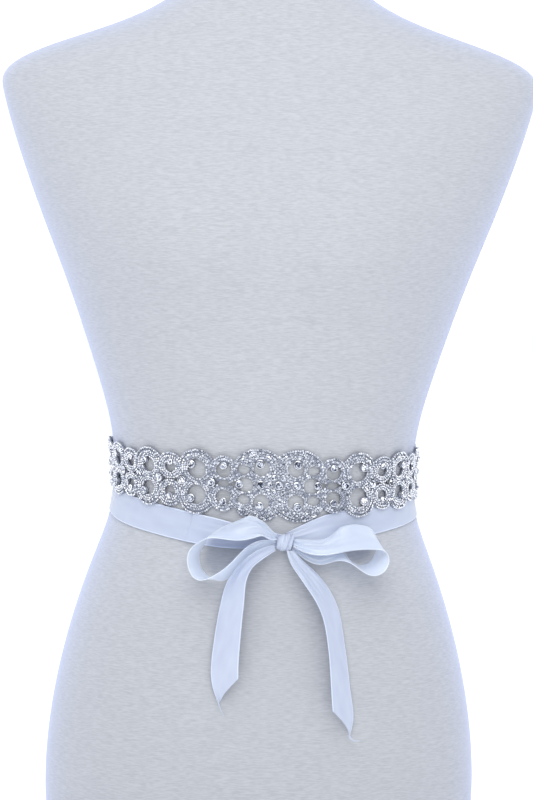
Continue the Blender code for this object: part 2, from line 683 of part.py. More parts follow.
def make_bow_ribbon(name, rows, material, sections, cut=0.0):
    """One stretch of the bow. Cut is the share of its length by which one edge is trimmed."""
    data = table(BOW_COLUMNS, rows)
    steps = np.hypot(np.diff(data["x"]), np.diff(data["z"]))
    run = np.concatenate([[0.0], np.cumsum(steps)]) / np.sum(steps)
    curves = {c: smooth_curve(run, data[c]) for c in BOW_COLUMNS}
    lean = math.radians(BOW_LEAN)
    shares = np.linspace(-1, 1, BOW_SHARES)
    step = 0.01

    def middle_point(at, share):
        v = {c: float(curves[c](at)) for c in BOW_COLUMNS}
        x = v["x"] * math.cos(lean) - v["z"] * math.sin(lean) + BOW_MIDDLE[0]
        z = v["x"] * math.sin(lean) + v["z"] * math.cos(lean) + BOW_MIDDLE[1]
        deep = math.sqrt(max(0.0, v["width"] ** 2 - v["run_x"] ** 2 - v["run_z"] ** 2))
        across = Vector((v["run_x"], -deep, v["run_z"]))
        base = Vector((x, front_of_form(x, z) - v["off"], z))
        return base + across * share / 2, across, max(0.0, v["fold"])

    def folded_point(at, share):
        here, across, fold = middle_point(at, share)
        ahead = middle_point(min(1.0, at + step), share)[0] - middle_point(max(0.0, at - step), share)[0]
        return here + ahead.cross(across).normalized() * gather(share, fold)

    grid = []
    for at in np.linspace(0, 1, sections):
        trims = [abs(cut) * (1 + share * math.copysign(1, cut)) / 2 for share in shares]
        grid.append([folded_point(at * (1 - trim), share) for share, trim in zip(shares, trims)])
    return add_solid(name, *wall(grid, CLOTH), material, sharp=45)


def make_knot(material):
    """The ribbon wound once round the bow's middle: a squat, slanting barrel with creases."""
    lean = math.radians(BOW_LEAN)
    x0 = KNOT["x"] * math.cos(lean) - KNOT["z"] * math.sin(lean) + BOW_MIDDLE[0]
    z0 = KNOT["x"] * math.sin(lean) + KNOT["z"] * math.cos(lean) + BOW_MIDDLE[1]
    y0 = front_of_form(x0, z0) - KNOT["off"]
    sides, stations = KNOT["sides"], np.linspace(-1, 1, KNOT["stations"])
    points, faces = [], []
    for share in stations:
        crease = 1 - KNOT["crease"] * math.cos(3 * math.pi * share)
        swell = (1 - KNOT["taper"] * share**4) * crease
        for i in range(sides):
            angle = 2 * math.pi * i / sides
            y = y0 - KNOT["half_depth"] * swell * math.cos(angle)
            z = z0 + KNOT["half_height"] * swell * math.sin(angle)
            points.append((x0 + KNOT["half_length"] * share + KNOT["slant"] * (z - z0), y, z))
    for row in range(len(stations) - 1):
        for i in range(sides):
            a, b = row * sides + i, row * sides + (i + 1) % sides
            faces.append((a, b, b + sides, a + sides))
    faces.append(tuple(reversed(range(sides))))
    faces.append(tuple(range(len(points) - sides, len(points))))
    return add_solid("knot", points, faces, material, sharp=60)


def main():
    for obj in list(bpy.data.objects):
        bpy.data.objects.remove(obj)
    jersey = add_material("jersey", (0.66, 0.66, 0.68), 0.9)
    satin = add_material("satin", (0.80, 0.85, 0.95), 0.35)
    crystal = add_material("crystal", (0.62, 0.64, 0.70), 0.2, 0.6)
    make_dress_form(jersey)
    make_applique(crystal)
    make_wrap("ribbon_wrap_left", -1, WRAP_LEFT, satin)
    make_wrap("ribbon_wrap_right", 1, WRAP_RIGHT, satin)
    make_knot(satin)
    make_bow_ribbon("bow_loop_left", LOOP_LEFT, satin, BOW_SECTIONS["loop"])
    make_bow_ribbon("bow_loop_right", LOOP_RIGHT, satin, BOW_SECTIONS["loop"])
    make_bow_ribbon("bow_tail_left", TAIL_LEFT, satin, BOW_SECTIONS["tail"], CUT_LEFT)
    make_bow_ribbon("bow_tail_right", TAIL_RIGHT, satin, BOW_SECTIONS["tail"], CUT_RIGHT)


main()
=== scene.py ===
# Rhinestone belt with a satin ribbon bow, on a jersey covered dress form.
# The CAD frame gives the places. Every piece here is a finer skin over its own solid.

import math

import bpy
import numpy as np
from mathutils import Matrix, Vector
from mathutils.geometry import delaunay_2d_cdt


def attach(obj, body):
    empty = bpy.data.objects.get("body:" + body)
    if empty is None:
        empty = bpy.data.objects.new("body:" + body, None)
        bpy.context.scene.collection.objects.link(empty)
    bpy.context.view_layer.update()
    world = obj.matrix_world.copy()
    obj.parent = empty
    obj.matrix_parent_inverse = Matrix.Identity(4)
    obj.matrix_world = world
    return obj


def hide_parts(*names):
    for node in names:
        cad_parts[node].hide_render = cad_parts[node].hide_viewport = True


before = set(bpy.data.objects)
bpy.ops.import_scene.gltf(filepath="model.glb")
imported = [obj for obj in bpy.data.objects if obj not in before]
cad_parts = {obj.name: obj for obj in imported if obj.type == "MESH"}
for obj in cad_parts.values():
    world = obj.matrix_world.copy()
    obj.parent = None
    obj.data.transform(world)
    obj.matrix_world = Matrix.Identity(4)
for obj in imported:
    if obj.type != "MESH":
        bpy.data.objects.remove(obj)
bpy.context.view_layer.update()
millimetre = 0.001
chance = np.random.default_rng(7)


# Small helpers


def linearColour(hexText):
    # sRGB hex to the linear colour that a shader wants
    parts = [int(hexText[i : i + 2], 16) / 255 for i in (1, 3, 5)]
    linear = [p / 12.92 if p <= 0.04045 else ((p + 0.055) / 1.055) ** 2.4 for p in parts]
    return (*linear, 1.0)


def addNode(tree, kind, settings=None, links=None):
    node = tree.nodes.new("ShaderNode" + kind)
    for name, value in (settings or {}).items():
        if name == "stops":
            # places and colours along a colour ramp
            elements = node.color_ramp.elements
            while len(elements) < len(value):
                elements.new(0.5)
            for element, (place, colour) in zip(elements, value):
                element.position = place
                element.color = linearColour(colour)
        elif isinstance(name, str) and hasattr(node, name):
            setattr(node, name, value)
        else:
            node.inputs[name].default_value = value
    for name, source in (links or {}).items():
        tree.links.new(source, node.inputs[name])
    return node


def newMaterial(name, settings):
    material = bpy.data.materials.new(name)
    material.use_nodes = True
    tree = material.node_tree
    shader = tree.nodes["Principled BSDF"]
    for socket, value in settings.items():
        shader.inputs[socket].default_value = value
    return material, tree, shader


def meshPiece(name, points, faces, material, cadNodes=(), smooth=True):
    # points are in millimetres
    mesh = bpy.data.meshes.new(name)
    mesh.from_pydata((np.asarray(points) * millimetre).tolist(), [], [tuple(f) for f in faces])
    mesh.validate()
    if smooth:
        mesh.shade_smooth()
    mesh.materials.append(material)
    piece = bpy.data.objects.new(name, mesh)
    bpy.context.scene.collection.objects.link(piece)
    # the part has no joints, so every piece rides on the one body
    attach(piece, "root")
    if cadNodes:
        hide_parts(*cadNodes)
    return piece


def smoothCurve(knots, values):
    # natural cubic spline through the values
    x, y = np.asarray(knots, float), np.asarray(values, float)
    gap, count = np.diff(x), len(x)
    rise = np.diff(y) / gap
    system, right = np.eye(count), np.zeros(count)
    for i in range(1, count - 1):
        system[i, i - 1 : i + 2] = gap[i - 1], 2 * (gap[i - 1] + gap[i]), gap[i]
        right[i] = 6 * (rise[i] - rise[i - 1])
    bend = np.linalg.solve(system, right)

    def valueAt(at):
        at = np.clip(np.asarray(at, float), x[0], x[-1])
        i = np.clip(np.searchsorted(x, at) - 1, 0, count - 2)
        left, over = x[i + 1] - at, at - x[i]
        cubic = (bend[i] * left**3 + bend[i + 1] * over**3) / (6 * gap[i])
        lineLeft = (y[i] / gap[i] - bend[i] * gap[i] / 6) * left
        lineOver = (y[i + 1] / gap[i] - bend[i + 1] * gap[i] / 6) * over
        return cubic + lineLeft + lineOver

    return valueAt


def unit(vectors):
    return vectors / np.maximum(np.linalg.norm(vectors, axis=-1, keepdims=True), 1e-12)


def runAlong(points):
    # length of a line from its first point to each of its points
    return np.concatenate([[0.0], np.cumsum(np.linalg.norm(np.diff(points, axis=0), axis=1))])


def evenTurns(count):
    # angles round a circle in equal steps
    return np.arange(count) * 2 * math.pi / count


def ringFaces(count, low, high):
    return [(low + i, low + (i + 1) % count, high + (i + 1) % count, high + i) for i in range(count)]


def tubeFaces(rows, sides, base=0):
    # a tube of rings with a flat cap on both ends
    faces = []
    for row in range(rows - 1):
        faces += ringFaces(sides, base + row * sides, base + (row + 1) * sides)
    last = base + (rows - 1) * sides
    faces.append(tuple(base + i for i in reversed(range(sides))))
    faces.append(tuple(last + i for i in range(sides)))
    return faces


# Camera, as the photo was taken

camera = {"distance": 2.2, "pitch": 4.1, "roll": 0.95, "lens": 128.4, "aim": (0.0013, 0.0, 0.3414)}


def makeCamera():
    data = bpy.data.cameras.new("camera")
    data.lens = camera["lens"]
    data.clip_end = 30
    eye = bpy.data.objects.new("camera", data)
    pitch = math.radians(camera["pitch"])
    back = Vector((0, -math.cos(pitch), math.sin(pitch))) * camera["distance"]
    turn = Matrix.Rotation(math.pi / 2 - pitch, 4, "X")
    turn = turn @ Matrix.Rotation(math.radians(camera["roll"]), 4, "Z")
    eye.matrix_world = Matrix.Translation(Vector(camera["aim"]) + back) @ turn
    bpy.context.scene.collection.objects.link(eye)
    bpy.context.scene.camera = eye


makeCamera()
print("camera set")


# Dress form

# half width, depth in front, depth behind and squareness at each height, in millimetres
formLevels = np.array((
    (0, 163, 88, 104, 2.25),
    (45, 165.6, 92, 113, 2.3),
    (95, 162.4, 95, 117, 2.3),
    (140, 154.4, 97, 112, 2.3),
    (185, 142.2, 96.5, 100, 2.25),
    (220, 130, 94, 89, 2.2),
    (250, 119.3, 90.5, 81.5, 2.2),
    (275, 114.8, 88.5, 78, 2.2),
    (300, 115.2, 88, 77.5, 2.2),
    (327, 119.4, 89, 79, 2.2),
    (360, 128.6, 92, 83, 2.25),
    (400, 141.8, 97, 89, 2.3),
    (440, 156.2, 102, 95, 2.4),
    (480, 171.8, 102, 99, 2.45),
    (520, 186.6, 94, 100, 2.45),
    (555, 198, 82, 97, 2.4),
    (575, 203.4, 73, 93, 2.3),
    (588, 203.6, 67, 89.5, 2.2),
    (600, 191.5, 62, 84.5, 2.15),
    (612, 164.4, 58.5, 78, 2.1),
    (624, 129.5, 56, 71.5, 2.05),
    (637, 97.5, 54.5, 65, 2),
    (650, 76, 53.5, 59, 2),
    (668, 59.5, 53, 52.5, 2),
    (690, 51, 53.5, 47.5, 2),
    (722, 49.5, 55.5, 45, 2),
))
formShape = {"edge": 3.0, "edgeRings": 6, "sides": 200, "ringStep": 3.6, "topRoom": 1.0, "sharp": 40}
bust = {
    "apart": 66.0, "height": 463.0, "rise": 14.0, "width": 56.0, "above": 66.0, "below": 44.0,
    "fade": 60.0,
}
halfWidthAt, frontAt, backAt, squareAt = (
    smoothCurve(formLevels[:, 0], formLevels[:, column]) for column in (1, 2, 3, 4)
)


def formPoint(turn, height, inset=0.0):
    # turn goes from the front towards the right in the photo
    turn, height = np.broadcast_arrays(np.asarray(turn, float), np.asarray(height, float))
    half = halfWidthAt(height) - inset
    depth = np.where(np.cos(turn) > 0, frontAt(height), backAt(height)) - inset
    power = squareAt(height)
    angle = np.arctan2(half * np.sin(turn), depth * np.cos(turn))
    share = (np.abs(np.sin(angle)) / half) ** power + (np.abs(np.cos(angle)) / depth) ** power
    reach = share ** (-1 / power)
    x, y = reach * np.sin(angle), -reach * np.cos(angle)
    bustReach = np.where(height > bust["height"], bust["above"], bust["below"])
    across = (np.abs(x) - bust["apart"]) / bust["width"]
    upright = (height - bust["height"]) / bustReach
    rise = bust["rise"] * np.exp(-across * across - upright * upright)
    y = y - rise * np.clip(-y / bust["fade"], 0, 1)
    return np.stack([x, y, height], axis=-1)


def offForm(turn, height, off):
    # a point at a distance from the form, square to its surface
    turnStep, heightStep = 0.002, 0.5
    roundIt = formPoint(turn + turnStep, height) - formPoint(turn - turnStep, height)
    upIt = formPoint(turn, height + heightStep) - formPoint(turn, height - heightStep)
    return formPoint(turn, height) + unit(np.cross(roundIt, upIt)) * np.asarray(off)[..., None]


def frontOfForm(x, height):
    # y of the form's front at x, found by steps in the turn
    half = halfWidthAt(height)
    turn = np.arcsin(np.clip(x / half, -1, 1))
    for _ in range(14):
        turn = turn + (x - formPoint(turn, height)[..., 0]) / half
    return formPoint(turn, height)[..., 1]


# Cotton slub jersey: a matt knit whose uneven yarns show as short, faint, level streaks, with a
# nap that turns pale and bluish where it is seen edge on. Courses are about 0.8 mm apart on the
# cloth, drawn 1.1 mm apart so that they show.
jersey = {
    "light": "#b9bbbe", "dark": "#aaacb0", "darkTo": 0.36, "lightFrom": 0.62,
    "roughness": 0.93, "gloss": 0.2, "nap": 0.85, "napSpread": 0.5, "napTint": "#d0dbff",
    "streakLength": 6.0, "streakHeight": 0.62, "courseLength": 10 / 3, "courseHeight": 1.1,
    "bump": 0.22, "bumpHeight": 0.6,
}


def makeJersey():
    material, tree, shader = newMaterial("cotton slub jersey", {
        "Roughness": jersey["roughness"], "Specular IOR Level": jersey["gloss"],
        "Sheen Weight": jersey["nap"], "Sheen Roughness": jersey["napSpread"],
        "Sheen Tint": linearColour(jersey["napTint"]),
    })
    place = addNode(tree, "TexCoord")
    patterns = []
    for name, detail, grain in (("streak", 3.0, 0.6), ("course", 2.0, 0.5)):
        flat, tall = (1 / (jersey[name + side] * millimetre) for side in ("Length", "Height"))
        spread = addNode(tree, "Mapping", {"Scale": (flat, flat, tall)},
                         {"Vector": place.outputs["Object"]})
        noise = addNode(tree, "TexNoise", {"Scale": 1.0, "Detail": detail, "Roughness": grain},
                        {"Vector": spread.outputs["Vector"]})
        patterns.append(noise.outputs["Fac"])
    stops = ((jersey["darkTo"], jersey["dark"]), (jersey["lightFrom"], jersey["light"]))
    colour = addNode(tree, "ValToRGB", {"stops": stops}, {"Fac": patterns[0]})
    both = addNode(tree, "Math", {"operation": "ADD"}, {0: patterns[0], 1: patterns[1]})
    relief = {"Strength": jersey["bump"], "Distance": jersey["bumpHeight"] * millimetre}
    bump = addNode(tree, "Bump", relief, {"Height": both.outputs[0]})
    tree.links.new(colour.outputs["Color"], shader.inputs["Base Color"])
    tree.links.new(bump.outputs["Normal"], shader.inputs["Normal"])
    return material


def makeDressForm():
    # rings from the base to the neck's flat top, with both edges rounded over
    top, edge, sides = formLevels[-1, 0], formShape["edge"], formShape["sides"]
    quarter = np.linspace(0, math.pi / 2, formShape["edgeRings"])
    rounding = [(edge * (1 - math.cos(a)), edge * (1 - math.sin(a))) for a in quarter]
    step = formShape["ringStep"]
    levels = rounding + [(h, 0.0) for h in np.arange(edge + step, top - edge - formShape["topRoom"], step)]
    levels += [(top - h, inset) for h, inset in reversed(rounding)]
    points = np.concatenate([formPoint(evenTurns(sides), h, inset) for h, inset in levels])
    faces = tubeFaces(len(levels), sides)
    piece = meshPiece("dressForm", points, faces, makeJersey(), ["dress_form"])
    piece.data.set_sharp_from_angle(angle=math.radians(formShape["sharp"]))


makeDressForm()
print("dress form made")


# Openwork applique

# the band's middle line round the form, and how far off the form the band lies along it, since
# its ends lie over the wraps
belt = {"shift": 11.3, "height": 291.4, "dip": 7.0, "tilt": 2.2, "halfLength": 226.6}
lifts = {"along": (0, 24, 35, 180, 202, 240), "lift": (0.3, 0.3, 1.3, 1.3, 2.7, 2.7)}

# scallops and gaps: along, up, half length, half height. Stones: along, up, diameter.
scallops = (
    (14.5, 9.5, 20.0, 17.6), (40.5, 10.0, 10.3, 10.8), (60.5, 10.3, 14.0, 14.2),
    (81.5, 10.2, 10.5, 10.2), (100.5, 9.6, 12.8, 12.6), (119.0, 9.2, 9.8, 9.4),
    (137.0, 8.8, 12.0, 11.6), (155.0, 8.4, 9.4, 8.8), (172.0, 8.0, 11.4, 10.8),
    (189.0, 7.6, 9.0, 8.4), (205.0, 6.8, 10.8, 9.8), (217.0, 0.0, 9.6, 8.8),
)
gaps = (
    (12.6, 12.4, 5.9, 5.6), (24.6, 0.0, 5.9, 5.7), (25.8, 11.2, 4.4, 3.5),
    (40.5, 9.9, 5.4, 5.5), (40.5, 0.0, 4.2, 2.4), (60.5, 9.6, 6.9, 7.1),
    (81.5, 9.2, 4.2, 3.9), (100.5, 8.8, 5.3, 5.4), (119.0, 8.6, 3.9, 3.8),
    (137.0, 8.2, 5.0, 5.0), (155.0, 7.8, 3.6, 3.5), (172.0, 7.4, 4.7, 4.5),
    (189.0, 7.0, 3.4, 3.3), (205.0, 6.2, 4.0, 3.7), (218.4, 0.0, 3.2, 3.0),
)
chatons = (
    (0.0, 0.0, 6.0), (6.4, 0.0, 4.4), (3.4, 5.6, 4.4), (13.2, 0.0, 6.0), (13.8, 15.8, 6.2),
    (29.2, 0.0, 5.6), (40.5, 13.3, 5.2), (49.7, 0.0, 6.4), (64.8, 12.8, 6.0),
    (72.2, 0.0, 6.0), (81.5, 12.9, 4.6), (91.0, 0.0, 6.0), (104.6, 11.8, 5.6),
    (110.2, 0.0, 5.4), (119.0, 11.8, 4.4), (128.2, 0.0, 5.6), (140.7, 10.9, 5.2),
    (146.4, 0.0, 5.0), (155.0, 10.8, 4.0), (163.6, 0.0, 5.0), (175.4, 9.9, 4.8),
    (181.0, 0.0, 4.6), (189.0, 9.8, 3.8), (197.2, 0.0, 4.6), (207.9, 8.5, 4.2),
)


def mirrored(rows):
    # one quarter of the band gives the others
    copies = []
    for along, up, *sizes in rows:
        for side in (1, -1) if along else (1,):
            for half in (1, -1) if up else (1,):
                copies.append((side * along, half * up, *sizes))
    return copies


scallopSet, gapSet = mirrored(scallops), mirrored(gaps)
chatonSet = [(s, h, d / 2, d / 2) for s, h, d in mirrored(chatons)]


def beltLine(turn):
    return belt["height"] - belt["dip"] * np.cos(turn) - belt["tilt"] * np.sin(turn)


def lineLength():
    turns = np.linspace(-math.pi, math.pi, 721)
    run = runAlong(formPoint(turns, beltLine(turns)))
    return turns, run - np.interp(0.0, turns, run)


lineTurns, lineRuns = lineLength()


def beltTurn(along):
    return np.interp(np.asarray(along, float) + belt["shift"], lineRuns, lineTurns)


def onBelt(along, up, off):
    turn = beltTurn(along)
    lift = np.interp(np.abs(along), lifts["along"], lifts["lift"])
    return offForm(turn, beltLine(turn) + up, lift + off)


def ovalDepth(ovals, s, h):
    # about how far points lie inside the ovals, in millimetres, and below 0 outside
    depth = np.full(np.shape(s), -1e9)
    for middleS, middleH, a, b in ovals:
        depth = np.maximum(depth, (1 - np.hypot((s - middleS) / a, (h - middleH) / b)) * min(a, b))
    return depth


def ovalPoints(oval, count, grow=0.0):
    # the first point lies a little off the axis, so that mirrored rings don't start alike
    s, h, a, b = oval
    angles = 0.2 + evenTurns(count)
    return np.stack([s + (a + grow) * np.cos(angles), h + (b + grow) * np.sin(angles)], axis=1)


def ovalRound(oval, grow=0.0):
    # length round an oval, by the usual close formula
    a, b = oval[2] + grow, oval[3] + grow
    return math.pi * (3 * (a + b) - math.sqrt((3 * a + b) * (a + 3 * b)))


# Polyester net under the stones, thick with silver thread where the beads are sewn, which gives a
# dull grey ground between them. Its threads are drawn 0.7 mm thick so that they show.
net = {
    "thickness": 0.9, "swell": 0.7, "rounded": 2.0, "off": 0.1, "shy": 0.3,
    "step": 1.5, "overlap": 0.3, "rings": (0.8, 1.8, 3.2), "ringStep": 2.2, "room": 0.5,
    "colour": "#868b99", "roughness": 0.62, "metallic": 0.2,
    "thread": 5 / 7, "bump": 0.6, "bumpHeight": 0.4,
}


def bandDepth(s, h):
    # how far inside the openwork, from its scalloped edge and its gaps
    return np.minimum(ovalDepth(scallopSet, s, h), -ovalDepth(gapSet, s, h))


def bandThickness(s, h):
    # thin at the edges and rounded to its full thickness further in
    rounded = np.sin(np.clip(bandDepth(s, h) / net["rounded"], 0, 1) * math.pi / 2)
    return net["thickness"] + net["swell"] * rounded


def makeNet():
    # the net stops a little inside its stones, which stand out over its edges
    shy = net["shy"]
    scallopNet = [(s, h, a - shy, b - shy) for s, h, a, b in scallopSet]
    gapNet = [(s, h, a + shy, b + shy) for s, h, a, b in gapSet]
    points, edges = [], []
    for ovals, others in ((scallopNet, scallopNet), (gapNet, chatonSet), (chatonSet, ())):
        for oval in ovals:
            loop = ovalPoints(oval, max(16, round(ovalRound(oval) / net["step"])))
            rest = [o for o in others if o != oval]
            keep = ovalDepth(rest, *loop.T) < net["overlap"]
            numbers = {}
            for i, point in enumerate(loop):
                if keep[i]:
                    numbers[i] = len(points)
                    points.append(tuple(point))
            for i in numbers:
                after = (i + 1) % len(loop)
                if after in numbers:
                    edges.append((numbers[i], numbers[after]))
    for oval in gapSet:
        for grow in net["rings"]:
            ring = ovalPoints(oval, round(ovalRound(oval, grow) / net["ringStep"]), grow)
            roomy = np.minimum(ovalDepth(scallopNet, *ring.T), -ovalDepth(gapNet, *ring.T)) > net["room"]
            points += [tuple(p) for p in ring[roomy & (ovalDepth(chatonSet, *ring.T) < -net["room"])]]
    found = delaunay_2d_cdt([Vector(p) for p in points], edges, [], 0, 0.05)
    corners = np.array([tuple(c) for c in found[0]])
    faces = np.array(found[2])
    middles = corners[faces].mean(axis=1)
    inStone = ovalDepth(chatonSet, *middles.T) > 0
    inWork = (ovalDepth(scallopNet, *middles.T) > 0) & (ovalDepth(gapNet, *middles.T) < 0)
    faces = faces[inStone | inWork]
    # an edge that only one face uses lies on the rim
    used = {(f[i], f[(i + 1) % 3]) for f in faces.tolist() for i in range(3)}
    rim = [(a, b) for a, b in sorted(used) if (b, a) not in used]
    outer = onBelt(*corners.T, bandThickness(*corners.T))
    inner = onBelt(*corners.T, np.full(len(corners), net["off"]))
    shift = len(corners)
    allFaces = faces.tolist() + [[shift + i for i in reversed(f)] for f in faces.tolist()]
    allFaces += [(b, a, shift + a, shift + b) for a, b in rim]
    material, tree, shader = newMaterial("silver thread on net", {
        "Base Color": linearColour(net["colour"]), "Roughness": net["roughness"],
        "Metallic": net["metallic"],
    })
    place = addNode(tree, "TexCoord")
    threads = addNode(tree, "TexNoise", {"Scale": 1 / (net["thread"] * millimetre), "Detail": 2.0},
                      {"Vector": place.outputs["Object"]})
    relief = {"Strength": net["bump"], "Distance": net["bumpHeight"] * millimetre}
    bump = addNode(tree, "Bump", relief, {"Height": threads.outputs["Fac"]})
    tree.links.new(bump.outputs["Normal"], shader.inputs["Normal"])
    points = np.concatenate([outer, inner])
    meshPiece("appliqueNet", points, allFaces, material, ["applique"])


makeNet()
print("net made")


# Lead glass rhinestones, foil backed and cut in flats. Their reflections are painted: each flat is
# painted bright, grey or nearly black, as a painted reflection of another part of the room. The
# stones in the middle are painted darker, as a painted reflection of the darker side of the room.
glass = {
    "stops": ((0.0, "#1d2130"), (0.2, "#434a5e"), (0.38, "#a0a8ba"), (0.58, "#e2e7f1"), (0.76, "#ffffff")),
    "roughness": 0.08, "metallic": 0.3, "coat": 0.3, "coatRoughness": 0.03,
    "paintedDimAlong": (45, 80), "paintedDimTo": (0.74, 1.07),
}
# Silver plated brass, pressed into cups: a bright, slightly soft mirror round each stone.
cupMetal = {"colour": "#eceef3", "roughness": 0.24}


def makeGlass():
    material, tree, shader = newMaterial("foil backed glass rhinestone", {
        "Roughness": glass["roughness"], "Metallic": glass["metallic"],
        "Coat Weight": glass["coat"], "Coat Roughness": glass["coatRoughness"],
    })
    # the colour of each flat is a painted reflection, picked from its painted value
    facet = addNode(tree, "Attribute", {"attribute_name": "facet"})
    colour = addNode(tree, "ValToRGB", {"stops": glass["stops"]}, {"Fac": facet.outputs["Fac"]})
    tree.links.new(colour.outputs["Color"], shader.inputs["Base Color"])
    return material


rhinestoneGlass = makeGlass()
silverCup, _, _ = newMaterial("silver plated brass cup", {
    "Base Color": linearColour(cupMetal["colour"]), "Roughness": cupMetal["roughness"], "Metallic": 1.0,
})

# lengths are in millimetres, and the cup, the girdle and the table are radius and height beside
# the stone's own radius
seedStones = {
    "pitch": 1.72, "radius": 0.81, "edge": 0.83, "slack": 0.1, "overlap": 0.05, "fromChatons": 0.8,
    "closest": 1.52, "smallClosest": 1.3, "smallRadius": 0.66, "gapRows": 5, "fillTries": 16000,
    "field": (228, 30), "vary": (0.9, 1.06), "tilt": 0.24, "sunk": 0.1,
    "sides": 7, "cup": ((0.92, 0.0), (1.0, 0.95), (0.84, 0.95)),
    "girdle": (0.86, 0.85), "table": (0.46, 1.5),
    "ownLight": (1.3, 0.9), "stoneLight": (1.3, 0.8), "stoneShare": 0.55,
}


def placeSeedStones():
    # rows follow the scalloped edge, then each gap, and loose and small ones fill what is left
    taken, cells = [], {}
    size = seedStones["closest"]
    full, small = (size, seedStones["radius"]), (seedStones["smallClosest"], seedStones["smallRadius"])

    def tryPoint(s, h, closest, radius):
        key = (int(s // size), int(h // size))
        for i in (-1, 0, 1):
            for j in (-1, 0, 1):
                for p, q in cells.get((key[0] + i, key[1] + j), ()):
                    if (p - s) ** 2 + (q - h) ** 2 < closest * closest:
                        return
        cells.setdefault(key, []).append((s, h))
        taken.append((s, h, radius))

    def roomFor(points):
        inBand = bandDepth(*points.T) > seedStones["edge"] - seedStones["slack"]
        return inBand & (ovalDepth(chatonSet, *points.T) < -seedStones["fromChatons"])

    edge, pitch = seedStones["edge"], seedStones["pitch"]
    for oval in scallopSet:
        others = [o for o in scallopSet if o != oval]
        ring = ovalPoints(oval, round(ovalRound(oval, -edge) / pitch), -edge)
        keep = (ovalDepth(others, *ring.T) < edge + seedStones["overlap"]) & roomFor(ring)
        for s, h in ring[keep]:
            tryPoint(s, h, *full)
    for row in range(seedStones["gapRows"]):
        for oval in gapSet:
            grow = edge + row * pitch
            ring = ovalPoints(oval, round(ovalRound(oval, grow) / pitch), grow)
            for s, h in ring[roomFor(ring)]:
                tryPoint(s, h, *full)
    length, height = seedStones["field"]
    for kind in (full, small):
        loose = chance.uniform((-length, -height), (length, height), (seedStones["fillTries"], 2))
        for s, h in loose[roomFor(loose)]:
            tryPoint(s, h, *kind)
    return np.array(taken)


def standOnBelt(template, faces, s, h, off, scale, tilt):
    # copies of one small shape, each standing on the applique and turned at random
    place = onBelt(s, h, off)
    along = unit(onBelt(s + 0.5, h, off) - onBelt(s - 0.5, h, off))
    up = onBelt(s, h + 0.5, off) - onBelt(s, h - 0.5, off)
    out = unit(np.cross(along, up))
    lean = chance.normal(0, tilt, (len(s), 2))
    up = unit(np.cross(out, along))
    out = unit(out + along * lean[:, :1] + up * lean[:, 1:])
    spin = chance.uniform(0, 2 * math.pi, len(s))[:, None]
    along = unit(np.cross(up, out))
    up = np.cross(out, along)
    along, up = along * np.cos(spin) + up * np.sin(spin), up * np.cos(spin) - along * np.sin(spin)
    axes = np.stack([along, up, out], axis=1)
    points = np.einsum("kc,ncd->nkd", np.asarray(template), axes) * scale[:, None, None]
    points = points + place[:, None, :]
    allFaces = []
    for n in range(len(s)):
        base = n * len(template)
        allFaces += [tuple(base + i for i in face) for face in faces]
    return points.reshape(-1, 3), allFaces


def ringPoints(count, radius, height, start=0.0):
    angles = start + evenTurns(count)
    return [(radius * math.cos(a), radius * math.sin(a), height) for a in angles]


def paintFacetReflections(piece, s, flats, stone):
    # painted reflections: how bright each flat is painted, partly at random for the flat itself, partly
    # for its whole stone, and darker towards the middle of the band.
    # flats says how many faces share each value.
    own = np.repeat(chance.beta(*stone["ownLight"], len(s) * len(flats)), np.tile(flats, len(s)))
    whole = np.repeat(chance.beta(*stone["stoneLight"], len(s)), sum(flats))
    paintedDim = np.repeat(np.interp(np.abs(s), glass["paintedDimAlong"], glass["paintedDimTo"]), sum(flats))
    values = (own * (1 - stone["stoneShare"]) + whole * stone["stoneShare"]) * paintedDim
    piece.data.attributes.new("facet", "FLOAT", "FACE").data.foreach_set("value", values)


def setStones(cups, stones, s, h, off, size, tilt):
    # each cup and the stone in it take the same random lean and turn
    state = chance.bit_generator.state
    for (name, template, faces), material in ((cups, silverCup), (stones, rhinestoneGlass)):
        chance.bit_generator.state = state
        points, allFaces = standOnBelt(template, faces, s, h, off, size, tilt)
        piece = meshPiece(name, points, allFaces, material, smooth=False)
    return piece


def makeSeedStones():
    # small stones with one row of flats round the table
    s, h, radius = placeSeedStones().T
    off = bandThickness(s, h) - seedStones["sunk"]
    size = radius * chance.uniform(*seedStones["vary"], len(s))
    sides = seedStones["sides"]
    cup = [point for ring in seedStones["cup"] for point in ringPoints(sides, *ring)]
    cupFaces = ringFaces(sides, 0, sides) + ringFaces(sides, sides, 2 * sides)
    stone = ringPoints(sides, *seedStones["girdle"])
    stone += ringPoints(sides, *seedStones["table"], math.pi / sides)
    stoneFaces = []
    for i in range(sides):
        a, b = i, (i + 1) % sides
        stoneFaces += [(a, b, sides + i), (b, sides + b, sides + i)]
    stoneFaces.append(tuple(range(sides, 2 * sides)))
    stones = setStones(("seedCups", cup, cupFaces), ("seedStones", stone, stoneFaces),
                       s, h, off, size, seedStones["tilt"])
    paintFacetReflections(stones, s, (2,) * sides + (1,), seedStones)
    print("seed stones:", len(s))


# as for the seed stones, and each prong's rows are reach, height and half width
chatonShape = {
    "off": 1.0, "tilt": 0.03, "cup": ((0.86, 0.0), (1.0, 0.62), (0.9, 0.66)), "prongs": 5,
    "prong": ((1.03, 0.3, 0.11), (1.03, 0.78, 0.1), (0.8, 0.94, 0.07), (0.76, 0.86, 0.06)),
    "girdle": (0.93, 0.62), "crown": (0.72, 0.95), "table": (0.44, 1.14), "middle": 1.15,
    "ownLight": (0.4, 0.46), "stoneLight": (0.8, 0.8), "stoneShare": 0.25,
}


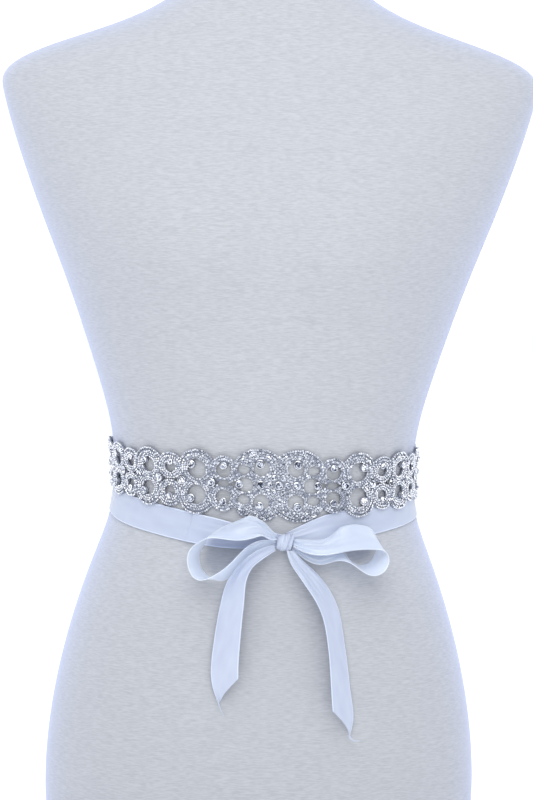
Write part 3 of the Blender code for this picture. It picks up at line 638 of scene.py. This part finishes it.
def makeChatons():
    # brilliant cut stones held by prongs
    s, h, radius, _ = np.array(chatonSet).T
    off = np.full(len(s), chatonShape["off"])
    cup = [point for ring in chatonShape["cup"] for point in ringPoints(16, *ring)]
    cupFaces = ringFaces(16, 0, 16) + ringFaces(16, 16, 32)
    for angle in evenTurns(chatonShape["prongs"]):
        base = len(cup)
        for reach, height, wide in chatonShape["prong"]:
            for side in (-1, 1):
                turn = angle + side * wide / reach
                cup.append((reach * math.cos(turn), reach * math.sin(turn), height))
        for i in range(3):
            cupFaces.append((base + 2 * i, base + 2 * i + 1, base + 2 * i + 3, base + 2 * i + 2))
    # crown of small flats, and a table whose wedges are painted light and dark, as painted reflections of
    # the back flats
    stone = ringPoints(16, *chatonShape["girdle"]) + ringPoints(8, *chatonShape["crown"], math.pi / 8)
    stone += ringPoints(8, *chatonShape["table"]) + [(0.0, 0.0, chatonShape["middle"])]
    stoneFaces = []
    for i in range(8):
        j = (i + 1) % 8
        stoneFaces += [(2 * i, 2 * i + 1, 16 + i), (2 * i + 1, (2 * i + 2) % 16, 16 + i)]
        stoneFaces += [(16 + i, (2 * i + 2) % 16, 16 + j), (16 + i, 16 + j, 24 + j)]
        stoneFaces += [(24 + i, 16 + i, 24 + j), (24 + i, 24 + j, 32)]
    stones = setStones(("chatonCups", cup, cupFaces), ("chatonStones", stone, stoneFaces),
                       s, h, off, radius, chatonShape["tilt"])
    paintFacetReflections(stones, s, (3, 2, 1) * 8, chatonShape)


makeSeedStones()
makeChatons()
print("rhinestones made")


# Satin ribbon

# Double faced polyester satin: long floats along the ribbon give a soft, pearly shine, with a
# firm woven edge, and light shines through the thin cloth, so its shaded folds stay pale.
# Threads are about 0.1 mm apart, drawn 0.5 mm apart so that they show. Sizes are in millimetres,
# and those of the threads and of the faint clouds of shade are along and across the ribbon.
satin = {
    "width": 22.0, "shell": 0.35, "edge": 0.7, "edgeBlend": 0.25, "edgeColour": "#d0daee",
    # The rest colours, for the ribbon close to the form, the knot, the tails and the loose threads, are
    # darker than the loop colours: painted shade, as a shaded copy of one ribbon.
    "loops": ("#c2cfe9", "#cad7ef"), "rest": ("#b4bcd0", "#bbc4d6"),
    "roughness": 0.34, "gloss": 0.7, "sheen": 0.32, "sheenSpread": 0.3, "anisotropy": 0.45,
    "throughLoops": 0.7, "throughDepth": 3.0, "threads": (50 / 3, 0.5), "clouds": (20.0, 25 / 3),
    "bump": 0.1, "bumpHeight": 0.3, "threadShare": 0.25,
}


def makeSatin(name, colours, through):
    material, tree, shader = newMaterial(name, {
        "Roughness": satin["roughness"], "Specular IOR Level": satin["gloss"],
        "Sheen Weight": satin["sheen"], "Sheen Roughness": satin["sheenSpread"],
        "Anisotropic": satin["anisotropy"], "Subsurface Weight": through,
        "Subsurface Radius": (1.0, 1.0, 1.0), "Subsurface Scale": satin["throughDepth"] * millimetre,
    })
    # the ribbon's own flat coordinates are in millimetres, along it and across it
    place = addNode(tree, "UVMap", {"uv_map": "ribbon"})
    sides = addNode(tree, "SeparateXYZ", links={"Vector": place.outputs["UV"]})
    fromMiddle = addNode(tree, "Math", {"operation": "ABSOLUTE"}, {0: sides.outputs["Y"]})
    selvedge = satin["width"] / 2 - satin["edge"]
    edge = addNode(tree, "MapRange", {"From Min": selvedge - satin["edgeBlend"], "From Max": selvedge},
                   {"Value": fromMiddle.outputs[0]})
    patterns = []
    for (along, across), detail in ((satin["threads"], 2.0), (satin["clouds"], 1.0)):
        spread = addNode(tree, "Mapping", {"Scale": (1 / along, 1 / across, 1)},
                         {"Vector": place.outputs["UV"]})
        noise = addNode(tree, "TexNoise", {"Scale": 1.0, "Detail": detail},
                        {"Vector": spread.outputs["Vector"]})
        patterns.append(noise.outputs["Fac"])
    threads, clouds = patterns
    shade = addNode(tree, "ValToRGB", {"stops": ((0.3, colours[0]), (0.7, colours[1]))}, {"Fac": clouds})
    colour = addNode(tree, "Mix", {"data_type": "RGBA", 7: linearColour(satin["edgeColour"])},
                     {"Factor": edge.outputs["Result"], 6: shade.outputs["Color"]})
    raised = addNode(tree, "Math", {"operation": "MULTIPLY_ADD", 1: satin["threadShare"]},
                     {0: threads, 2: edge.outputs["Result"]})
    relief = {"Strength": satin["bump"], "Distance": satin["bumpHeight"] * millimetre}
    bump = addNode(tree, "Bump", relief, {"Height": raised.outputs[0]})
    tree.links.new(colour.outputs[2], shader.inputs["Base Color"])
    tree.links.new(bump.outputs["Normal"], shader.inputs["Normal"])
    return material


loopSatin = makeSatin("double faced satin ribbon with light behind", satin["loops"], satin["throughLoops"])
# a darker copy of the same satin, with painted shade, for the parts close to the form
paintedShadeSatin = makeSatin("double faced satin ribbon with painted shade", satin["rest"], 0.0)


def addFlatPlaces(piece, flat):
    # one flat place for each point, as the coordinates that the satin reads
    corners = np.zeros(len(piece.data.loops), dtype=int)
    piece.data.loops.foreach_get("vertex_index", corners)
    piece.data.uv_layers.new(name="ribbon").data.foreach_set("uv", flat[corners].ravel())


def ribbonShell(name, grid, widths, cadNode, material):
    # a thin closed shell round a grid of middle points, with its own flat ribbon coordinates
    grid = np.asarray(grid)
    normal = unit(np.cross(np.gradient(grid, axis=0), np.gradient(grid, axis=1)))
    count, wide = grid.shape[:2]
    half = count * wide
    points = np.concatenate([(grid + normal * satin["shell"] / 2).reshape(-1, 3),
                             (grid - normal * satin["shell"] / 2).reshape(-1, 3)])
    cell = np.arange(half).reshape(count, wide)
    a, b = cell[:-1, :-1].ravel(), cell[:-1, 1:].ravel()
    d, c = cell[1:, :-1].ravel(), cell[1:, 1:].ravel()
    faces = np.stack([a, b, c, d], axis=1).tolist()
    faces += (np.stack([a, d, c, b], axis=1) + half).tolist()
    for line, step in ((cell[:, 0], 1), (cell[:, -1], -1), (cell[0], -1), (cell[-1], 1)):
        line = line[::step]
        faces += [(p, q, q + half, p + half) for p, q in zip(line[:-1].tolist(), line[1:].tolist())]
    piece = meshPiece(name, points, faces, material, [cadNode])
    run = runAlong(grid[:, wide // 2])
    across = np.linspace(-1, 1, wide) * satin["width"] / 2
    flat = np.stack([np.repeat(run, wide), np.tile(across, count)], axis=-1)
    addFlatPlaces(piece, np.concatenate([flat, flat]))
    area = float(np.sum(np.diff(run) * (widths[1:] + widths[:-1]) / 2))
    return piece, run[-1] * millimetre, area * millimetre * millimetre


# wraps: turn from the front in degrees, height, width, lift, fold. At the back the right one lies
# over the left one.
wrapLeft = np.array((
    (250, 296.4, 22, 0.4, 0),
    (232, 295.2, 22, 0.4, 0),
    (205, 290, 22, 0.4, 0),
    (180, 284.5, 22, 0.4, 0),
    (150, 277.5, 22, 0.4, 0),
    (120, 272.8, 22, 0.4, 0),
    (90, 269.2, 22, 0.4, 0),
    (65, 262.6, 22, 0.4, 0),
    (42, 256.5, 22, 0.4, 0),
    (25, 251.2, 22, 0.4, 0.1),
    (12, 247, 19.6, 0.5, 0.4),
    (4, 245, 15, 0.6, 0.5),
    (-4.4, 244, 10, 0.5, 0.3),
    (-7, 243.8, 8.5, 0.4, 0.2),
))
wrapRight = np.array((
    (250, 296.4, 22, 1.8, 0),
    (238, 295.6, 22, 1.8, 0),
    (205, 290, 22, 1.8, 0),
    (180, 284.5, 22, 1.8, 0),
    (150, 277.5, 22, 1.8, 0),
    (130, 273.5, 22, 1.8, 0),
    (110, 270.2, 22, 0.4, 0),
    (90, 267.3, 22, 0.4, 0),
    (65, 263.2, 22, 0.4, 0),
    (46, 259, 22, 0.4, 0),
    (30, 254.8, 21.6, 0.4, 0),
    (20, 251.2, 18.4, 0.4, 0.3),
    (12, 246.8, 12.4, 0.6, 0.4),
    (8.4, 244.8, 9, 0.4, 0.2),
))
wrapDetail = {
    "sections": 420, "across": 25, "lap": 9.0, "halfWall": 0.5, "phase": 0.8,
    "creaseTurn": 26.6, "creaseSlant": 0.9, "creaseWide": 0.4, "creaseLift": 0.9,
    "creaseEnd": 22.0, "creaseFade": 18.0, "closeTurns": 5, "closeSections": 80,
}

# creases: where each starts and stops along the ribbon, from 0 at its first row to 1, its place
# across from -1 to 1 at both ends, its half width across, and its height in millimetres, which
# is below 0 for a trough
wrapLeftCreases = (
    (0.02, 0.15, 0.4, 0.1, 0.22, -0.25), (0.07, 0.19, -0.45, -0.6, 0.15, 0.18),
    (0.3, 0.43, -0.35, -0.5, 0.2, -0.2), (0.5, 0.57, 0.55, 0.35, 0.16, 0.15),
    (0.8, 0.97, -0.62, -0.35, 0.16, -0.3), (0.86, 1, 0.15, 0.25, 0.2, -0.35),
    (0.9, 1, 0.7, 0.6, 0.14, 0.25),
)
wrapRightCreases = (
    (0.03, 0.13, -0.35, -0.1, 0.2, -0.22), (0.24, 0.4, 0.45, 0.6, 0.18, -0.2),
    (0.46, 0.52, -0.55, -0.3, 0.15, 0.15), (0.82, 1, 0.78, 0.66, 0.16, 0.45),
    (0.84, 0.99, 0.35, 0.2, 0.18, -0.4), (0.8, 0.95, -0.55, -0.25, 0.2, -0.3),
)


def handCreases(rows, at, shares):
    # each crease grows and fades along its own stretch of the ribbon
    rise = 0.0 * at * shares
    for start, stop, firstPlace, lastPlace, half, height in rows:
        along = np.clip((at - start) / (stop - start), 0, 1)
        place = firstPlace + (lastPlace - firstPlace) * along
        strength = np.sin(np.pi * along) ** 0.7
        rise = rise + height * strength * np.exp(-(((shares - place) / half) ** 2))
    return rise


# broad gathers with finer ones on them: waves across, share of the phase, and height
gathers = ((1.6, 0.0, 1.0), (4.7, 1.0, 0.38), (8.3, 1.7, 0.16))


def pleats(share, fold, phase):
    waves = [high * np.cos(count * math.pi * share + turn * phase) for count, turn, high in gathers]
    return fold * sum(waves)


def makeWrap(name, side, table, creases, cadNode):
    table = table[np.argsort(table[:, 0])]
    heightAt, widthAt = (smoothCurve(table[:, 0], table[:, column]) for column in (1, 2))
    # the ribbon starts a short lap in under the end of the applique
    endTurn = math.degrees(float(beltTurn(-side * (belt["halfLength"] - wrapDetail["lap"]))))
    start, stop = 360 - abs(endTurn), table[0, 0]
    even = np.linspace(start, stop, wrapDetail["sections"])
    reach = wrapDetail["closeTurns"]
    close = wrapDetail["creaseTurn"] + np.linspace(reach, -reach, wrapDetail["closeSections"])
    turns = np.flip(np.unique(np.concatenate([even, close])))[:, None]
    shares = np.linspace(-1, 1, wrapDetail["across"])[None, :]
    lift = np.interp(turns, table[:, 0], table[:, 3])
    fold = np.interp(turns, table[:, 0], table[:, 4])
    off = lift + wrapDetail["halfWall"] + fold + pleats(shares, fold, wrapDetail["phase"])
    off = off + handCreases(creases, (start - turns) / (start - stop), shares)
    if side < 0:
        # a pressed crease, from which the ribbon stands a little off the form towards the knot
        past = wrapDetail["creaseTurn"] - wrapDetail["creaseSlant"] * shares - turns
        fade = np.clip((wrapDetail["creaseEnd"] - past) / wrapDetail["creaseFade"], 0, 1)
        off = off + wrapDetail["creaseLift"] * np.clip(past / wrapDetail["creaseWide"], 0, 1) * fade
    height = heightAt(turns) + widthAt(turns) / 2 * shares
    grid = offForm(side * np.radians(turns + 0 * shares), height, off)
    return ribbonShell(name, grid, widthAt(turns[:, 0]), cadNode, paintedShadeSatin)


# bow: x and z from the bow's middle, distance off the form, run of the section from its far
# edge to its near edge as seen from the front, gathered width, fold
bow = {"middle": (14.8, 245.5), "lean": 1.3, "sections": 190, "across": 29, "slantCut": 0.15}
loopLeft = np.array((
    (-4, 1.4, 8.6, 0, -3.2, 4.6, 0.4),
    (-8.8, 3.8, 10, 0, -7.2, 9, 0.7),
    (-13.8, 7.7, 11.6, -1, -9.2, 12, 0.9),
    (-19.8, 9.2, 12.8, -0.6, -13.8, 17, 0.8),
    (-25.4, 9.2, 13.8, -3.4, -16.8, 20.6, 0.5),
    (-33.8, 7.9, 14.6, -5.6, -13.8, 21.6, 0.2),
    (-42.2, 6.8, 15.2, -5.6, -8.8, 22, 0.1),
    (-50.4, 4.9, 15.8, -5.3, -3.8, 22, 0),
    (-57.4, 0.9, 16.4, -7.6, -1.6, 22, 0),
    (-63.2, -5.3, 17, -10.4, -2.2, 22, 0),
    (-65.7, -12.3, 17.4, -8.6, -2.8, 22, 0),
    (-64.5, -20.3, 17.2, -7, -3.2, 22, 0),
    (-61, -25.6, 16.8, -6.4, -2, 22, 0),
    (-55.6, -28.2, 16.2, -6, 1.2, 22, 0),
    (-49, -27.6, 15.4, -4.4, 6.2, 22, 0),
    (-41.7, -24.4, 13.4, -1.6, 10.8, 22, 0),
    (-35, -18.6, 11.6, 0.4, 13.2, 22, 0.1),
    (-28.2, -12.4, 9.8, 0, 13.2, 18.5, 0.2),
    (-22, -7.8, 8.3, -0.4, 11.4, 14.4, 0.3),
    (-15.3, -4.4, 7.3, 0, 8.6, 10.6, 0.4),
    (-9.6, -2.4, 6.8, 0, 4.4, 6.4, 0.3),
    (-4.7, -1.9, 6.6, 0, 2.4, 4.4, 0.2),
))
loopRight = np.array((
    (8.2, -2.3, 8.8, -1.2, -5.4, 7.2, 0.4),
    (13.4, -4.2, 9.8, -0.6, -8, 10, 0.9),
    (20, -5.5, 11.2, 0.2, -9.8, 13.6, 1),
    (27, -6.1, 12.4, 0.2, -10.2, 16, 0.9),
    (33, -5.2, 13.2, 0.6, -11.4, 19, 0.7),
    (38.6, -3, 13.8, 1.6, -14.2, 22, 0.4),
    (44.6, -0.7, 14.4, 2.6, -16.8, 22, 0.2),
    (52.4, 0.4, 15, 2.4, -17.8, 22, 0.1),
    (60.4, 0, 15.6, 2.8, -16.6, 22, 0),
    (67.4, -1.7, 16.2, 3.4, -13.8, 22, 0),
    (72.4, -5.4, 16.8, 5.2, -8.4, 22, 0),
    (74.4, -10.9, 17.2, 8, -4, 22, 0),
    (73.8, -16, 17.4, 10, -3, 22, 0),
    (71.2, -20.6, 17.2, 11, -3.8, 22, 0),
    (66.6, -23.6, 16.6, 10.6, -5, 22, 0),
    (61.2, -24, 16, 8.6, -5.2, 22, 0),
    (56, -21.4, 15, 5, -3.2, 22, 0),
    (50.6, -17.4, 13.8, 2.6, -1.8, 20, 0),
    (45, -13.1, 12, 0.8, -5.6, 17, 0.1),
    (38.6, -11.9, 10.2, 0, -8.8, 13, 0.3),
    (31, -14, 8.8, 0, -9.4, 11, 0.4),
    (23.4, -14.4, 7.6, 0, -7.8, 8.8, 0.4),
    (16, -11.4, 6.6, 0, -6.4, 7, 0.3),
    (7.6, -5.8, 6.4, -0.6, -3.2, 4, 0.2),
))
tailLeft = np.array((
    (-5.5, -6, 8.8, 0.6, -4.2, 5.6, 0.2),
    (-10.6, -7.8, 10.6, 2.8, -4.2, 8.4, 0.5),
    (-18.4, -11.8, 12.6, 5.8, -3.6, 11.6, 0.7),
    (-25.9, -17.6, 14.6, 9, -0.8, 14, 0.6),
    (-31.1, -24.2, 14.8, 12.2, 1.4, 16.4, 0.4),
    (-34.4, -31.5, 13.9, 14.6, 2.8, 18.6, 0.2),
    (-36.8, -42.9, 12.2, 17, 3.6, 20.6, 0.1),
    (-39.5, -59.8, 10.4, 18.8, 3.5, 22, 0),
    (-41.7, -77, 9.2, 19.8, 2.9, 22, 0),
    (-43.3, -94.1, 8.2, 20.4, 2.2, 22, 0),
    (-43, -108, 7.6, 19.4, 1.6, 21.4, 0),
    (-40.8, -122.6, 7.4, 14.4, 1, 16.6, 0),
))
tailRight = np.array((
    (5.9, -8.2, 9.8, -5.4, 0, 6.2, 0.2),
    (9.8, -15.4, 11.4, -8.6, -1.4, 9.8, 0.5),
    (16.4, -23.6, 12.2, -10, -4.2, 13, 0.6),
    (24.4, -33.8, 12.2, -11.6, -4.6, 18, 0.4),
    (31.6, -45.5, 12.4, -12, -3.8, 20.6, 0.2),
    (36.1, -58, 12.2, -12, -2.8, 22, 0),
    (38.5, -72, 12, -12, -1.9, 22, 0),
    (40.6, -89, 11.6, -12.7, -1.6, 22, 0),
    (42, -106, 11.2, -13.6, -1.5, 22, 0),
    (43.6, -123.5, 10.6, -14.8, -1.4, 22, 0),
    (44.6, -137, 10.3, -14.4, -1, 21, 0),
    (43.8, -148.4, 10.2, -10.4, -0.6, 16, 0),
))

# creases as on the wraps, seen on the face that is turned to the front at the knot
loopLeftCreases = (
    (-0.08, 0.26, -0.25, -0.68, 0.2, -0.9), (-0.06, 0.2, 0.22, 0.5, 0.17, -0.7),
    (0.02, 0.15, -0.02, -0.12, 0.12, 0.35), (0.8, 1.05, -0.25, 0.05, 0.22, -0.5),
)
loopRightCreases = (
    (-0.08, 0.15, -0.05, -0.62, 0.18, -1.2), (0.09, 0.24, -0.5, -1.05, 0.22, -1.1),
    (-0.05, 0.15, 0.62, 0.82, 0.15, -0.7), (0, 0.2, 0.28, 0.1, 0.18, 0.4),
    (0.78, 1.05, 0.3, 0, 0.22, -0.5),
)
tailLeftCreases = (
    (-0.06, 0.3, -0.1, -0.42, 0.22, -0.7), (0, 0.24, 0.6, 0.78, 0.18, 0.4),
    (0.05, 0.2, 0.28, 0.34, 0.12, -0.3),
)
tailRightCreases = (
    (-0.04, 0.3, 0.66, 0.82, 0.17, 0.6), (-0.04, 0.32, 0.28, 0.46, 0.15, -0.7),
    (0.02, 0.26, -0.3, -0.55, 0.18, -0.4),
)


def leaned(x, z):
    lean = math.radians(bow["lean"])
    return (x * math.cos(lean) - z * math.sin(lean) + bow["middle"][0],
            x * math.sin(lean) + z * math.cos(lean) + bow["middle"][1])


def makeBowRibbon(name, table, creases, cadNode, material, phase, cut=0.0):
    # cut is the share of the length that a slanting cut takes off one edge
    run = runAlong(table[:, :2])
    curves = [smoothCurve(run / run[-1], column) for column in table.T]
    shares = np.linspace(-1, 1, bow["across"])[None, :]
    at = np.linspace(0, 1, bow["sections"])[:, None] * (1 - cut * (1 + shares) / 2)
    x, z, off, runX, runZ, width, fold = (curve(at) for curve in curves)
    x, z = leaned(x, z)
    # what the section's run leaves of the width goes towards the front
    deep = np.sqrt(np.maximum(0.0, width**2 - runX**2 - runZ**2))
    across = np.stack([runX, -deep, runZ], axis=-1)
    base = np.stack([x, frontOfForm(x, z) - off, z], axis=-1)
    grid = base + across * shares[..., None] / 2
    normal = unit(np.cross(np.gradient(grid, axis=0), np.gradient(grid, axis=1)))
    # the creases rise towards the front on the face that is seen beside the knot
    toFront = -math.copysign(1, float(normal[4, bow["across"] // 2, 1]))
    rise = pleats(shares, np.maximum(fold, 0), phase) + toFront * handCreases(creases, at, shares)
    grid = grid + normal * rise[..., None]
    return ribbonShell(name, grid, width.mean(axis=1), cadNode, material)


# ridges: waves along, turn and height. Creases: place, share of the drift, half width and depth.
knotShape = {
    "x": 1.9, "z": -2.2, "off": 8.2, "halfLength": 5.6, "halfHeight": 6.7, "halfDepth": 5.6,
    "slant": 0.22, "around": 96, "along": 64, "girth": 0.97, "taper": 0.3, "fuller": 0.1,
    "drift": 0.14, "driftTurn": 0.6, "ridges": ((3.0, 0.0, 0.03), (7.5, 1.0, 0.018)),
    "creases": ((0.42, 1.0, 0.09, 0.17), (-0.36, 1.6, 0.08, 0.07)),
    "flatRound": 6.4, "flatHalf": 9.0, "sharp": 60,
}


def makeKnot():
    # the ribbon bunched into one turn round the middle, with pleats that run round it
    x0, z0 = leaned(knotShape["x"], knotShape["z"])
    y0 = float(frontOfForm(np.array(x0), np.array(z0))) - knotShape["off"]
    share = np.linspace(-1, 1, knotShape["along"])[:, None]
    angle = evenTurns(knotShape["around"])[None, :]
    drift = knotShape["drift"] * np.sin(angle + knotShape["driftTurn"])
    girth = knotShape["girth"]
    for waves, turn, high in knotShape["ridges"]:
        girth = girth - high * np.cos(waves * math.pi * (share + drift) + turn)
    for place, follow, wide, deep in knotShape["creases"]:
        girth = girth - deep * np.exp(-(((share - place - follow * drift) / wide) ** 2))
    swell = (1 - knotShape["taper"] * share**4 + knotShape["fuller"] * share) * girth
    y = y0 - knotShape["halfDepth"] * swell * np.cos(angle)
    z = z0 + knotShape["halfHeight"] * swell * np.sin(angle)
    x = x0 + knotShape["halfLength"] * share + knotShape["slant"] * (z - z0)
    points = np.stack([x, y, z], axis=-1).reshape(-1, 3)
    faces = tubeFaces(knotShape["along"], knotShape["around"])
    piece = meshPiece("bowKnot", points, faces, paintedShadeSatin, ["knot"])
    piece.data.set_sharp_from_angle(angle=math.radians(knotShape["sharp"]))
    flatRound = np.broadcast_to(angle * knotShape["flatRound"], x.shape)
    flatAcross = np.broadcast_to(share * knotShape["flatHalf"], x.shape)
    addFlatPlaces(piece, np.stack([flatRound, flatAcross], axis=-1).reshape(-1, 2))


# a loose thread at the left tail's tip and a curled sliver at the right one's, drawn thicker than
# real so that they show: radius, distance off the form, then three points from the bow's middle
threads = {
    "taper": 0.7, "sides": 6, "sections": 14,
    "curls": (
        (0.62, 7.3, (-48.7, -117.0), (-47.4, -123.6), (-44.0, -131.4)),
        (0.85, 10.0, (48.2, -146.4), (51.2, -150.3), (56.8, -151.2)),
    ),
}


def makeThreads():
    points, faces = [], []
    sides = threads["sides"]
    turns = evenTurns(sides)[None, :, None]
    at = np.linspace(0, 1, threads["sections"])
    for radius, off, *curl in threads["curls"]:
        x, z = leaned(*(smoothCurve((0, 0.5, 1), places)(at) for places in zip(*curl)))
        line = np.stack([x, frontOfForm(x, z) - off, z], axis=1)
        ahead = unit(np.gradient(line, axis=0))
        beside = unit(np.cross(ahead, (0.0, 1.0, 0.0)))
        above = np.cross(beside, ahead)
        radius = radius * (1 - threads["taper"] * at)[:, None, None]
        ring = beside[:, None] * np.cos(turns) + above[:, None] * np.sin(turns)
        faces += tubeFaces(threads["sections"], sides, len(points))
        points += (line[:, None] + ring * radius).reshape(-1, 3).tolist()
    meshPiece("tailThreads", points, faces, paintedShadeSatin)


wraps = (("wrapLeft", -1, wrapLeft, wrapLeftCreases, "ribbon_wrap_left"),
         ("wrapRight", 1, wrapRight, wrapRightCreases, "ribbon_wrap_right"))
loops = (("bowLoopLeft", loopLeft, loopLeftCreases, "bow_loop_left", loopSatin, 0.4),
         ("bowLoopRight", loopRight, loopRightCreases, "bow_loop_right", loopSatin, 2.1))
tails = (("bowTailLeft", tailLeft, tailLeftCreases, "bow_tail_left", paintedShadeSatin, 1.1, bow["slantCut"]),
         ("bowTailRight", tailRight, tailRightCreases, "bow_tail_right", paintedShadeSatin, 0.3, bow["slantCut"]))
for wrap in wraps:
    makeWrap(*wrap)
for loop in loops:
    makeBowRibbon(*loop)
for tail in tails:
    makeBowRibbon(*tail)
makeKnot()
makeThreads()
print("ribbon and bow made")


# Studio

# softboxes: name, place, point that they face, size across and power. The floor is matt white
# acrylic with a soft light under it, so it shows no edge and no hard shadow.
studio = {
    "front": "#8c8e93", "back": "#f3f7ff", "brightest": (0.0, 0.9, 0.44), "fade": (-0.75, 0.6),
    "strength": 1.16, "backdrop": "#ffffff",
    "floor": "#ffffff", "floorRoughness": 0.9, "floorGlow": 0.17, "floorRadius": 9, "floorDrop": 0.0005,
    "softboxes": (
        ("top", (-0.05, -0.95, 1.45), (0, 0, 0.5), 1.5, 12.0),
        ("front", (0.05, -1.25, 0.85), (0, 0, 0.35), 1.0, 3.1),
        ("left edge", (-1.1, 0.5, 0.95), (0, 0, 0.45), 0.8, 2.3),
        ("right edge", (1.1, 0.5, 0.95), (0, 0, 0.45), 0.8, 1.6),
    ),
}


def makeStudio():
    scene = bpy.context.scene
    scene.view_settings.view_transform = "Standard"
    world = bpy.data.worlds.new("studio")
    scene.world = world
    world.use_nodes = True
    tree = world.node_tree
    background = tree.nodes["Background"]
    direction = addNode(tree, "TexCoord")
    towards = addNode(tree, "VectorMath", {"operation": "DOT_PRODUCT", 1: studio["brightest"]},
                      {0: direction.outputs["Generated"]})
    low, high = studio["fade"]
    share = addNode(tree, "MapRange", {"From Min": low, "From Max": high},
                    {"Value": towards.outputs["Value"]})
    colour = addNode(tree, "ValToRGB", {"stops": ((0.0, studio["front"]), (1.0, studio["back"]))},
                     {"Fac": share.outputs["Result"]})
    # the backdrop itself is white from every side
    seen = addNode(tree, "LightPath")
    shown = addNode(tree, "Mix", {"data_type": "RGBA", 7: linearColour(studio["backdrop"])},
                    {"Factor": seen.outputs["Is Camera Ray"], 6: colour.outputs["Color"]})
    tree.links.new(shown.outputs[2], background.inputs["Color"])
    background.inputs["Strength"].default_value = studio["strength"]
    for name, place, aim, size, power in studio["softboxes"]:
        light = bpy.data.lights.new(name, "AREA")
        light.shape = "DISK"
        light.size = size
        light.energy = power
        lamp = bpy.data.objects.new(name, light)
        lamp.location = place
        lamp.rotation_euler = (Vector(aim) - Vector(place)).to_track_quat("-Z", "Y").to_euler()
        scene.collection.objects.link(lamp)
    white = linearColour(studio["floor"])
    material, _, _ = newMaterial("matt white acrylic lit from below", {
        "Base Color": white, "Roughness": studio["floorRoughness"],
        "Emission Color": white, "Emission Strength": studio["floorGlow"],
    })
    mesh = bpy.data.meshes.new("floor")
    around = ringPoints(64, studio["floorRadius"], -studio["floorDrop"])
    mesh.from_pydata(around, [], [tuple(range(64))])
    mesh.materials.append(material)
    floor = bpy.data.objects.new("floor", mesh)
    scene.collection.objects.link(floor)


makeStudio()
print("studio lit")
